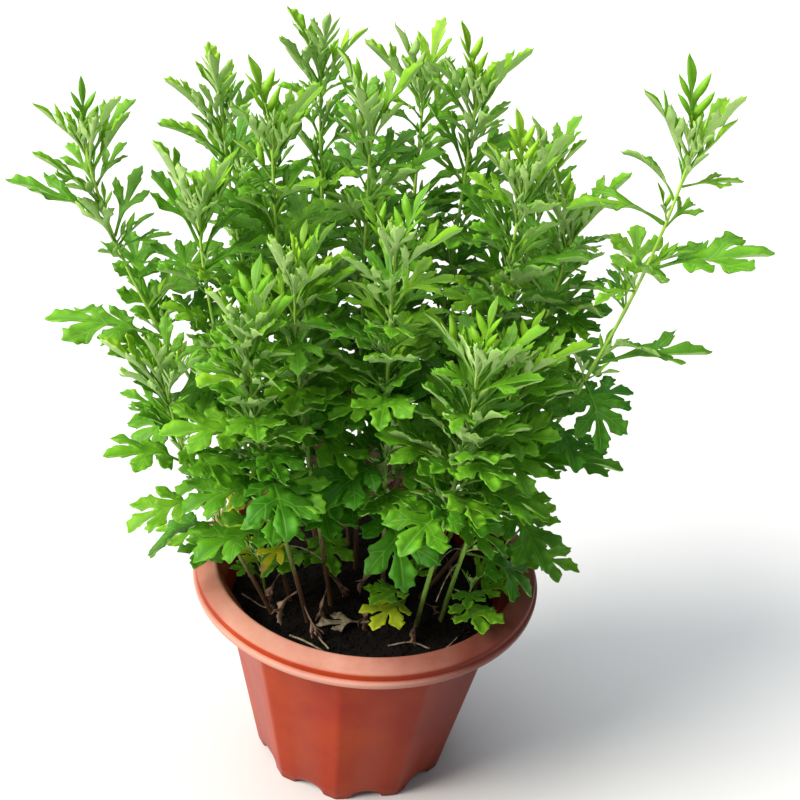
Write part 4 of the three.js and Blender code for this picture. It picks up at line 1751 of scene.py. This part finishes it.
    def tube(self, stem: Stem) -> Mesh:
        """Draws a stem's tube, slimmer than its solid and swollen a little where leaves join it.

        Args:
            stem: The stem.

        Returns:
            The tube as a plain mesh.
        """
        shares = np.linspace(0, 1, self.line_points)
        line = np.array([stem.smooth_point(t) for t in shares])
        radii = np.array([stem.radius(t) for t in shares]) * self.slimness
        for leaf in stem.leaves:
            radii *= 1 + self.node_swell * np.exp(-((shares - leaf.share) / self.node_width) ** 2)
        line = np.vstack([line[0] - (0, 0, 3.0 + self.rooted), line])
        radii = np.concatenate([[radii[0]], radii])
        radii[-1] *= 0.6
        oldest = 0.72 if stem.name in self.green_footed else 1.0
        ages = np.concatenate([[oldest], np.clip(oldest - 1.1 * shares, 0, 1)])
        return self.tubes.draw([line * MM], [radii * MM], [ages], self.finishes[self.bark])

    def build(self, stem: Stem) -> Object:
        """Builds one leafy stem as one piece.

        Args:
            stem: The stem.

        Returns:
            The piece.
        """
        parts = MeshParts()
        parts.add_mesh(self.tube(stem), self.bark)
        main = [(leaf, self.look(stem, leaf, number)) for number, leaf in enumerate(stem.leaves)]
        fillers, youngest = [], []
        if stem.habit is TALL_HABIT:
            fillers = self.filler_leaves(stem)
            youngest = self.axil_leaves(stem)
        youngest += self.tip_leaves(stem)
        main += self.low_leaves(stem)
        main += [(leaf, self.look(stem, leaf, -1)) for leaf in fillers]
        main += [(leaf, self.young_look(leaf)) for leaf in youngest]
        for leaf, look in main:
            self.press.add(parts, self.on_curve(stem, leaf), look, int(self.random.integers(100)))
        return parts.to_object(f"leafy_{stem.name}", self.finishes)


# The pot and its soil


@dataclass
class RingBody:
    """Rings of points round the axis, joined into a closed skin. Metres."""

    points_round: int = 280
    sides: int = 10
    first_crease: float = math.radians(-5)
    crease_softness: float = math.radians(0.6)

    def __post_init__(self) -> None:
        """Works out the ring's angles, and how far in each point is on a flat-sided ring."""
        self.turns = self.first_crease + np.arange(self.points_round) * 2 * math.pi / self.points_round
        half_side = math.pi / self.sides
        self.off_middle = (self.turns - self.first_crease) % (2 * half_side) - half_side
        to_crease = np.sqrt((half_side - np.abs(self.off_middle)) ** 2 + self.crease_softness ** 2)
        self.flatness = math.cos(half_side) / np.cos(half_side - to_crease)

    def ring(self, radius: float, height: float, roundness: float) -> np.ndarray:
        """Places a ring of points.

        Args:
            radius: Its radius, at the creases if it is flat-sided.
            height: Its height.
            roundness: 0 for flat sides, 1 for a circle.

        Returns:
            The points in metres.
        """
        radii = radius * (self.flatness * (1 - roundness) + roundness)
        heights = np.full(self.points_round, height)
        return np.stack([radii * np.sin(self.turns), -radii * np.cos(self.turns), heights], axis=1)

    def skin(self, rings: list[np.ndarray]) -> tuple[np.ndarray, list[list[int]]]:
        """Joins rings in order and closes both ends at the axis.

        Args:
            rings: The rings' points, from the first end to the last.

        Returns:
            All the points, and the faces, whose outside is on the right of the rings' order from the axis.
        """
        count = self.points_round
        faces = []
        for i in range(len(rings) - 1):
            low, high = i * count, (i + 1) * count
            for j in range(count):
                k = (j + 1) % count
                faces.append([low + j, low + k, high + k, high + j])
        start, end = len(rings) * count, len(rings) * count + 1
        last = (len(rings) - 1) * count
        for j in range(count):
            k = (j + 1) % count
            faces.append([start, k, j])
            faces.append([end, last + j, last + k])
        centres = [rings[0].mean(axis=0), rings[-1].mean(axis=0)]
        return np.vstack([*rings, *centres]), faces


def rounded_profile(corners: list[tuple[float, ...]], steps: int = 4) -> list[tuple[float, ...]]:
    """Rounds the corners of a profile.

    Args:
        corners: Radius, height, roundness of the ring and rounding distance of each corner.
        steps: Points along each rounded corner, less one.

    Returns:
        Radius, height and roundness of each ring.
    """
    rings = [corners[0][:3]]
    for before, here, after in zip(corners, corners[1:], corners[2:]):
        middle = np.array(here[:3])
        reach = here[3]
        if reach == 0:
            rings.append(here[:3])
            continue
        ends = []
        for other in (before, after):
            way = np.array(other[:3]) - middle
            size = math.hypot(way[0], way[1])
            ends.append(middle + way * min(reach / size, 0.48))
        for i in range(steps + 1):
            s = i / steps
            rings.append(tuple((1 - s) ** 2 * ends[0] + 2 * s * (1 - s) * middle + s ** 2 * ends[1]))
    rings.append(corners[-1][:3])
    return rings


@dataclass
class Pot:
    """The plastic pot: ten flat sides under a round stepped rim, on a foot with an arch under each side."""

    finish: Material
    height: float = 165 * MM
    foot_radius: float = 70.5 * MM
    body_top_radius: float = 104.5 * MM
    mouth_radius: float = 104 * MM
    rim_radius: float = 120.5 * MM
    rim_depth: float = 14 * MM
    bead_height: float = 4 * MM
    groove_depth: float = 2.4 * MM
    wall: float = 2.4 * MM
    disc_radius: float = 34 * MM
    disc_slope: float = 4 * MM
    ring_lift: float = 8 * MM
    foot_width: float = 6 * MM
    arch_height: float = 6 * MM
    arch_width: float = 24 * MM
    drain_count: int = 4
    drain_sides: int = 24
    drain_radius: float = 4.5 * MM
    drain_circle: float = 49 * MM

    def radius_at(self, height: float) -> float:
        """Radius at the creases of the outer wall at a height."""
        return self.foot_radius + (self.body_top_radius - self.foot_radius) * height / self.height

    def profile(self) -> list[tuple[float, ...]]:
        """Lists the rings, from the middle of the underside, round the rim and down to the floor's middle.

        Returns:
            Radius, height and roundness of each ring.
        """
        rim_foot = self.height - self.rim_depth
        sides_top = rim_foot - self.wall
        floor_top = self.ring_lift + self.wall
        rim_groove_and_painted_vein_shade = self.rim_radius - self.groove_depth
        skirt = rim_groove_and_painted_vein_shade - self.wall
        bead = rim_foot + self.bead_height
        soft = 0.8 * MM
        return rounded_profile([
            (0.5 * MM, 0, 0, 0),
            (self.disc_radius, 0, 0, soft),
            (self.disc_radius + self.disc_slope, self.ring_lift, 0, soft),
            (self.foot_radius - self.foot_width - 2 * MM, self.ring_lift, 0, soft),
            (self.foot_radius - self.foot_width, 0, 0, 0),
            (self.foot_radius - 0.6 * MM, 0, 0, 0),
            (self.foot_radius, 0.5 * MM, 0, 0),
            (self.radius_at(10 * MM), 10 * MM, 0, 0),
            (self.radius_at(sides_top), sides_top, 0, 0.5 * MM),
            (self.mouth_radius, bead, 1, 0.5 * MM),
            (skirt, bead + self.wall, 1, 0.6 * MM),
            (skirt, rim_foot, 1, 0.3 * MM),
            (self.rim_radius - 0.6 * MM, rim_foot, 1, 1.1 * MM),
            (self.rim_radius, bead, 1, 1.3 * MM),
            (rim_groove_and_painted_vein_shade, bead + 1.3 * MM, 1, 0.8 * MM),
            (rim_groove_and_painted_vein_shade + 0.4 * MM, self.height - self.bead_height, 1, 1.8 * MM),
            (self.mouth_radius + 1.4 * MM, self.height, 1, 1.6 * MM),
            (self.mouth_radius - 0.4 * MM, self.height - 1.6 * MM, 1, 1.0 * MM),
            (self.radius_at(sides_top) - self.wall, sides_top, 0, 1.0 * MM),
            (self.radius_at(floor_top) - self.wall, floor_top, 0, 1.0 * MM),
            (self.disc_radius + 6 * MM, floor_top, 0, soft),
            (self.disc_radius, self.wall, 0, soft),
            (0.5 * MM, self.wall, 0, 0),
        ])

    def build(self) -> Object:
        """Builds the pot.

        Returns:
            The pot.
        """
        body = RingBody()
        rings = []
        for radius, height, roundness in self.profile():
            ring = body.ring(radius, height, roundness)
            if height < 1 * MM and radius > self.disc_radius + self.disc_slope:
                across = radius * np.tan(body.off_middle) / (self.arch_width / 2)
                ring[:, 2] += self.arch_height * np.sqrt(np.clip(1 - across ** 2, 0, 1))
            rings.append(ring)
        points, faces = body.skin(rings)
        parts = MeshParts(marks=())
        parts.add(points, faces, 0)
        pot = parts.to_object("moulded_pot", [self.finish])
        drills = self.drills()
        cut = pot.modifiers.new("drain_holes", "BOOLEAN")
        cut.object = drills
        cut.operation = "DIFFERENCE"
        cut.solver = "EXACT"
        pot.data = applied(pot)
        bpy.data.objects.remove(drills)
        return pot

    def drills(self) -> Object:
        """Builds the pins that cut the drain holes in the raised ring of the floor.

        Returns:
            All the pins as one object.
        """
        parts = MeshParts(marks=())
        turns = np.linspace(0, 2 * math.pi, self.drain_sides, endpoint=False)
        circle = self.drain_radius * np.stack([np.cos(turns), np.sin(turns), 0 * turns], axis=1)
        around = list(range(self.drain_sides))
        upper = [i + self.drain_sides for i in around]
        walls = [[i, (i + 1) % self.drain_sides, upper[(i + 1) % self.drain_sides], upper[i]] for i in around]
        for turn in np.arange(self.drain_count) * 2 * math.pi / self.drain_count:
            middle = self.drain_circle * np.array([math.cos(turn), math.sin(turn), 0.0])
            low = circle + middle + (0, 0, self.ring_lift - self.wall)
            high = circle + middle + (0, 0, self.ring_lift + 2 * self.wall)
            parts.add(np.vstack([low, high]), [around[::-1], upper, *walls], 0)
        return parts.to_object("drain_drills", [self.finish])


@dataclass
class SoilBed:
    """The soil that fills the pot, in metres: its crumbly top swells, ripples and banks up in millimetres."""

    finish: Material
    pot: Pot
    feet: list[tuple[float, float]]
    level: float = 138 * MM
    edge_drop: float = 4 * MM
    gap: float = 0.4 * MM
    rings: int = 46
    swell_height: float = 2.2
    ripple_height: float = 0.9
    roughness: float = 0.9
    roughness_width: float = 11.0
    edge_share: float = 0.88
    bank: float = 2.2
    bank_width: float = 8.0

    def top_height(self, x: float, y: float, share: float) -> float:
        """Height of the soil's top.

        Args:
            x: Place to the right, in metres.
            y: Place to the back, in metres.
            share: How far out it is, from 0 at the middle to 1 at the wall.

        Returns:
            The height in metres.
        """
        a, b = x / MM, y / MM
        swell = self.swell_height * math.sin(a * 0.045 + 1.3) * math.cos(b * 0.05 - 0.4)
        ripple = self.ripple_height * math.sin(a * 0.11 - b * 0.07)
        rough = self.roughness * smooth_noise((a, b, 3.0), self.roughness_width, 4)
        nearest = min(math.dist((a, b), foot) for foot in self.feet)
        banked = self.bank * math.exp(-(nearest / self.bank_width) ** 2)
        slope = np.clip((share - self.edge_share) / (1 - self.edge_share), 0, 1)
        return self.level - self.edge_drop * slope + ((swell + ripple + rough) * (1 - slope) + banked) * MM

    def build(self) -> Object:
        """Builds the soil's closed body.

        Returns:
            The soil.
        """
        body = RingBody(crease_softness=math.radians(1.6))
        floor_top = self.pot.ring_lift + self.pot.wall + self.gap
        clearance = self.pot.wall + 1.2 * self.gap
        edge = self.level - self.edge_drop
        wide = self.pot.radius_at(edge) - clearance
        low = self.pot.radius_at(floor_top) - clearance
        rings = [
            body.ring(0.5 * MM, self.pot.wall + self.gap, 0),
            body.ring(self.pot.disc_radius - 1 * MM, self.pot.wall + self.gap, 0),
            body.ring(self.pot.disc_radius + 6.5 * MM, floor_top, 0),
            body.ring(low, floor_top, 0),
        ]
        for i in range(self.rings):
            share = 1 - i / self.rings
            ring = body.ring(wide * share, edge, 0.15 * (1 - share))
            ring[:, 2] = [self.top_height(x, y, share) for x, y, _ in ring]
            rings.append(ring)
        points, faces = body.skin(rings)
        parts = MeshParts(marks=())
        parts.add(points, faces, 0)
        return parts.to_object("potting_soil_bed", [self.finish])


@dataclass
class Scatter:
    """A node tree that strews small grains over the parts of a surface above a height. Metres."""

    grains_per_square_metre: float = 70000.0
    smallest: float = 0.5 * MM
    largest: float = 1.9 * MM
    above: float = 131 * MM
    seed: int = 3

    def tree(self) -> NodeTree:
        """Builds the tree, with its sizes as named inputs.

        Returns:
            The tree.
        """
        tree, given = start_tree("strewn_grains", {
            "Density": "Float", "Smallest": "Float", "Largest": "Float", "Above": "Float", "Seed": "Int",
        })
        position = add_node(tree, "GeometryNodeInputPosition")
        place = add_node(tree, "ShaderNodeSeparateXYZ", {}, {"Vector": position})
        high = add_node(
            tree, "FunctionNodeCompare", {"data_type": "FLOAT", "operation": "GREATER_THAN"},
            {0: place.outputs["Z"], 1: given["Above"]},
        )
        spots = add_node(tree, "GeometryNodeDistributePointsOnFaces", {}, {
            "Mesh": given["Geometry"], "Selection": high, "Density": given["Density"], "Seed": given["Seed"],
        })
        grain = add_node(tree, "GeometryNodeMeshIcoSphere", {"Radius": 1.0, "Subdivisions": 1})
        size = add_node(
            tree, "FunctionNodeRandomValue", {"data_type": "FLOAT_VECTOR"},
            {0: given["Smallest"], 1: given["Largest"], "Seed": given["Seed"]},
        )
        turn = add_node(
            tree, "FunctionNodeRandomValue", {"data_type": "FLOAT_VECTOR", 1: (6.28, 6.28, 6.28)},
            {"Seed": given["Seed"]},
        )
        strewn = add_node(
            tree, "GeometryNodeInstanceOnPoints", {},
            {"Points": spots, "Instance": grain, "Rotation": turn, "Scale": size},
        )
        end_tree(tree, strewn, given["Material"])
        return tree

    def strew(self, ground: Object, name: str, material: Material) -> Object:
        """Strews the grains over a piece.

        Args:
            ground: The piece that they lie on.
            name: The new piece's name.
            material: The grains' material.

        Returns:
            The grains as one plain mesh piece.
        """
        mesh = run_tree(self.tree(), ground.data.copy(), {
            "Density": self.grains_per_square_metre, "Smallest": self.smallest, "Largest": self.largest,
            "Above": self.above, "Seed": self.seed, "Material": material,
        })
        return link(bpy.data.objects.new(name, mesh))


@dataclass
class DryRemains:
    """What has died back: the leaf on the soil, shrivelled leaves at the stems' feet, and loose stalks."""

    press: LeafPress
    tubes: RibbedTubes
    pale: Material
    brown: Material
    soil: SoilBed
    hidden_stems: tuple[str, ...] = (
        "stem_back_left", "stem_back_right", "stem_centre_back", "stem_right_back", "stem_left_back",
        "stem_left_inner", "stem_right_inner",
    )
    hidden_shares: tuple[float, ...] = (0.24, 0.33, 0.42, 0.5)

    def withered_leaf(self) -> Object:
        """Builds the bleached leaf that lies on the soil, at the height of its solid.

        Returns:
            The leaf.
        """
        wish = LeafWish(TRIDENT, 0.0, math.radians(190), 0.02, 36.0, 0.2)
        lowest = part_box("withered_leaf")[0].z
        root = np.array([6.0, -42.0, lowest / MM])
        leaf = Leaf(wish, root, wish.turn, wish.rise, wish.length)
        parts = MeshParts()
        self.press.add(parts, leaf, LeafLook(age=0, tint=0, curl=0.5, wave=0.05, phase=0.3), 2)
        points = np.concatenate(parts.points)
        shift = lowest - points[:, 2].min()
        parts.points = [block + (0, 0, shift) for block in parts.points]
        return parts.to_object("bleached_leaf", [self.pale, self.pale])

    def shrivelled_leaves(self, stems: dict[str, Stem]) -> Object:
        """Builds the brown curled leaves that still hang near the stems' feet and inside the crown.

        Args:
            stems: The stems by name.

        Returns:
            One piece with all of them.
        """
        hung = (
            ("stem_left_front", 0.07, 300, 30), ("stem_left_front", 0.12, 200, 26),
            ("stem_front_left", 0.06, 250, 28), ("stem_front_left", 0.11, 330, 24),
            ("stem_centre_front", 0.05, 215, 30), ("stem_centre_front", 0.1, 300, 26),
            ("stem_centre_front", 0.13, 160, 24), ("stem_front_right", 0.05, 250, 26),
            ("stem_front_right", 0.1, 20, 22), ("stem_left_middle", 0.08, 230, 26),
            ("stem_right_middle", 0.07, 300, 24),
        )
        parts = MeshParts()
        wanted = [(name, TRIDENT, share, turn, length, 1.1, 1.3) for name, share, turn, length in hung]
        for i, name in enumerate(self.hidden_stems):
            for j, share in enumerate(self.hidden_shares):
                wanted.append((name, BROAD, share, 360 * GOLDEN_TURN * (3 * i + j), 44, 0.4, 0.8))
        for i, (name, kind, share, turn, length, fold, bend) in enumerate(wanted):
            stem = stems[name]
            turned = math.radians(turn)
            wish = LeafWish(kind, share, turned, -0.5, length, bend, 0.6)
            leaf = Leaf(wish, stem.smooth_point(share) + 2.0 * heading(turned), turned, wish.rise, length)
            look = LeafLook(age=0, tint=0, fold=fold, curl=1.2, wave=0.09, phase=0.37 * i)
            self.press.add(parts, leaf, look, i)
        return parts.to_object("shrivelled_leaves", [self.brown, self.brown])

    def stalks(self, stems: dict[str, Stem]) -> Object:
        """Builds the loose dead stalks on the soil, and the thin curved ones that lost their blades.

        Args:
            stems: The stems by name.

        Returns:
            One piece with all of them.
        """
        routes = (
            ((-46, -62), (-32, -70), (-20, -76), (-13, -86)),
            ((-30, -56), (-24, -66), (-19, -70)),
            ((20, -60), (34, -57), (48, -60)),
            ((-84, -20), (-70, -38), (-52, -44)),
            ((46, -72), (58, -62), (66, -48)),
            ((-10, 62), (14, 70), (36, 66)),
        )
        lines, radii, ages = [], [], []
        for i, route in enumerate(routes):
            shares = np.linspace(0, 1, 14)
            known = np.linspace(0, 1, len(route))
            flat = np.stack([np.interp(shares, known, [p[axis] for p in route]) for axis in (0, 1)], axis=1)
            for _ in range(2):
                flat[1:-1] = (flat[:-2] + 2 * flat[1:-1] + flat[2:]) / 4
            radius = 0.7 - 0.06 * i
            heights = [self.soil.top_height(x * MM, y * MM, 0.5) / MM + radius for x, y in flat]
            lift = 1.6 * np.sin(math.pi * shares)
            lines.append(np.column_stack([flat, np.array(heights) + lift]) * MM)
            radii.append(np.full(len(shares), radius) * MM)
            ages.append(np.ones(len(shares)))
        left_on = (
            ("stem_front_right", 0.22, 60, 44, 0.6), ("stem_right_low", 0.26, 250, 42, 0.5),
            ("stem_right_middle", 0.16, -60, 46, 0.6), ("stem_right_middle", 0.22, -110, 38, 0.5),
            ("stem_front_left", 0.15, 150, 30, 0.3),
        )
        for name, share, turn, length, arch in left_on:
            run = np.linspace(0, 1, 16)
            flat = np.outer(length * run, heading(math.radians(turn)))
            flat[:, 2] = length * arch * (run - 1.15 * run ** 2.3)
            lines.append((stems[name].smooth_point(share) + flat) * MM)
            radii.append((0.6 - 0.25 * run) * MM)
            ages.append(np.ones(len(run)))
        mesh = self.tubes.draw(lines, radii, ages, self.pale)
        return link(bpy.data.objects.new("dead_stalks", mesh))


@dataclass
class Studio:
    """The pale floor, the soft lights and the camera. Metres and degrees."""

    target: tuple[float, float, float] = (0.012, 0.0, 0.293)
    elevation: float = 30.3
    distance: float = 0.9
    roll: float = 5.6
    focal_pixels: float = 1384.0
    frame_pixels: float = 800.0
    floor_radius: float = 30.0
    sky: str = "#f2f6fb"
    sky_strength: float = 0.3
    lamps: tuple[tuple, ...] = (
        ("key", (-0.7, -0.33, 0.7), 34.0, 5.3, "#fff9f0"), ("top", (-0.15, 0.2, 0.95), 60.0, 2.2, "#f4f9ff"),
    )

    def camera(self) -> None:
        """Sets the camera at the photograph's angle."""
        data = bpy.data.cameras.new("camera")
        data.sensor_width = 36.0
        data.lens = data.sensor_width * self.focal_pixels / self.frame_pixels
        data.clip_end = 100.0
        camera = link(bpy.data.objects.new("camera", data))
        lift = math.radians(self.elevation)
        forward = Vector((0, math.cos(lift), -math.sin(lift)))
        upright = Vector((0, math.sin(lift), math.cos(lift)))
        right = Vector((1, 0, 0))
        turn = math.radians(self.roll)
        across = right * math.cos(turn) + upright * math.sin(turn)
        upward = upright * math.cos(turn) - right * math.sin(turn)
        facing = Matrix((across, upward, -forward)).transposed().to_4x4()
        place = Vector(self.target) - forward * self.distance
        camera.matrix_world = Matrix.Translation(place) @ facing
        bpy.context.scene.camera = camera

    def light(
        self, name: str, toward: tuple[float, float, float], softness: float, power: float, tone: str
    ) -> None:
        """Adds a soft light that reaches the whole floor alike.

        Args:
            name: Its name.
            toward: The way to it from the plant.
            softness: The angle that it fills, in degrees.
            power: Its power in watts on a square metre.
            tone: Its colour.
        """
        data = bpy.data.lights.new(name, "SUN")
        data.angle = math.radians(softness)
        data.energy = power
        data.color = linear(tone)[:3]
        lamp = link(bpy.data.objects.new(name, data))
        lamp.rotation_euler = Vector(toward).to_track_quat("Z", "Y").to_euler()

    def build(self) -> None:
        """Sets the whole studio up."""
        scene = bpy.context.scene
        scene.view_settings.view_transform = "Standard"
        self.camera()
        world = bpy.data.worlds.new("sky")
        world.use_nodes = True
        backdrop = world.node_tree.nodes["Background"].inputs
        backdrop["Color"].default_value = linear(self.sky)
        backdrop["Strength"].default_value = self.sky_strength
        scene.world = world
        for lamp in self.lamps:
            self.light(*lamp)
        floor = MeshParts(marks=())
        turns = np.linspace(0, 2 * math.pi, 65)[:-1]
        ring = self.floor_radius * np.stack([np.cos(turns), np.sin(turns), 0 * turns], axis=1)
        floor.add(ring, [list(range(len(ring)))], 0, smooth=False)
        floor.to_object("paper_floor", [MattPaper().build()])


def place_piece(piece: Object, slot: str, *nodes: str) -> None:
    """Says what a piece rides on and which solids it stands for, and logs it.

    Args:
        piece: The finished piece.
        slot: Not used.
        *nodes: The solids that it replaces.
    """
    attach(piece, "root")
    if nodes:
        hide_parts(*nodes)
    piece.data.calc_loop_triangles()
    log.info("%s: %d triangles", piece.name, len(piece.data.loop_triangles))


def main() -> None:
    """Builds the scene."""
    logging.basicConfig(level=logging.INFO, format="%(name)s %(message)s")
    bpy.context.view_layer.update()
    Studio().build()
    pot = Pot(MouldedPolypropylene().build())
    place_piece(pot.build(), "pot_plastic", "pot")
    plant = Plant()
    log.info("grown: %d leaves", sum(len(stem.leaves) for stem in plant.stems))
    soil_finish = PottingSoil().build()
    feet = [stem.place.foot for stem in plant.stems]
    soil = SoilBed(soil_finish, pot, feet)
    bed = soil.build()
    place_piece(bed, "soil", "soil")
    place_piece(Scatter().strew(bed, "soil_crumbs", soil_finish), "soil")
    press = LeafPress()
    tubes = RibbedTubes()
    finishes = [LeafBlade().build(), LeafFelt().build(), StemBark().build()]
    foliage = Foliage(plant, press, tubes, finishes)
    for stem in plant.stems:
        place_piece(foliage.build(stem), "foliage", stem.name)
    pale = DryLeaf().build()
    brown = DryLeaf(name="shrivelled_leaf", pale="#9a7a66", brown="#5a3d30").build()
    remains = DryRemains(press, tubes, pale, brown, soil)
    place_piece(remains.withered_leaf(), "dry_leaf", "withered_leaf")
    stems = {stem.name: stem for stem in plant.stems}
    place_piece(remains.shrivelled_leaves(stems), "dry_leaf")
    place_piece(remains.stalks(stems), "dry_leaf")
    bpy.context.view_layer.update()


if __name__ == "__main__":
    main()
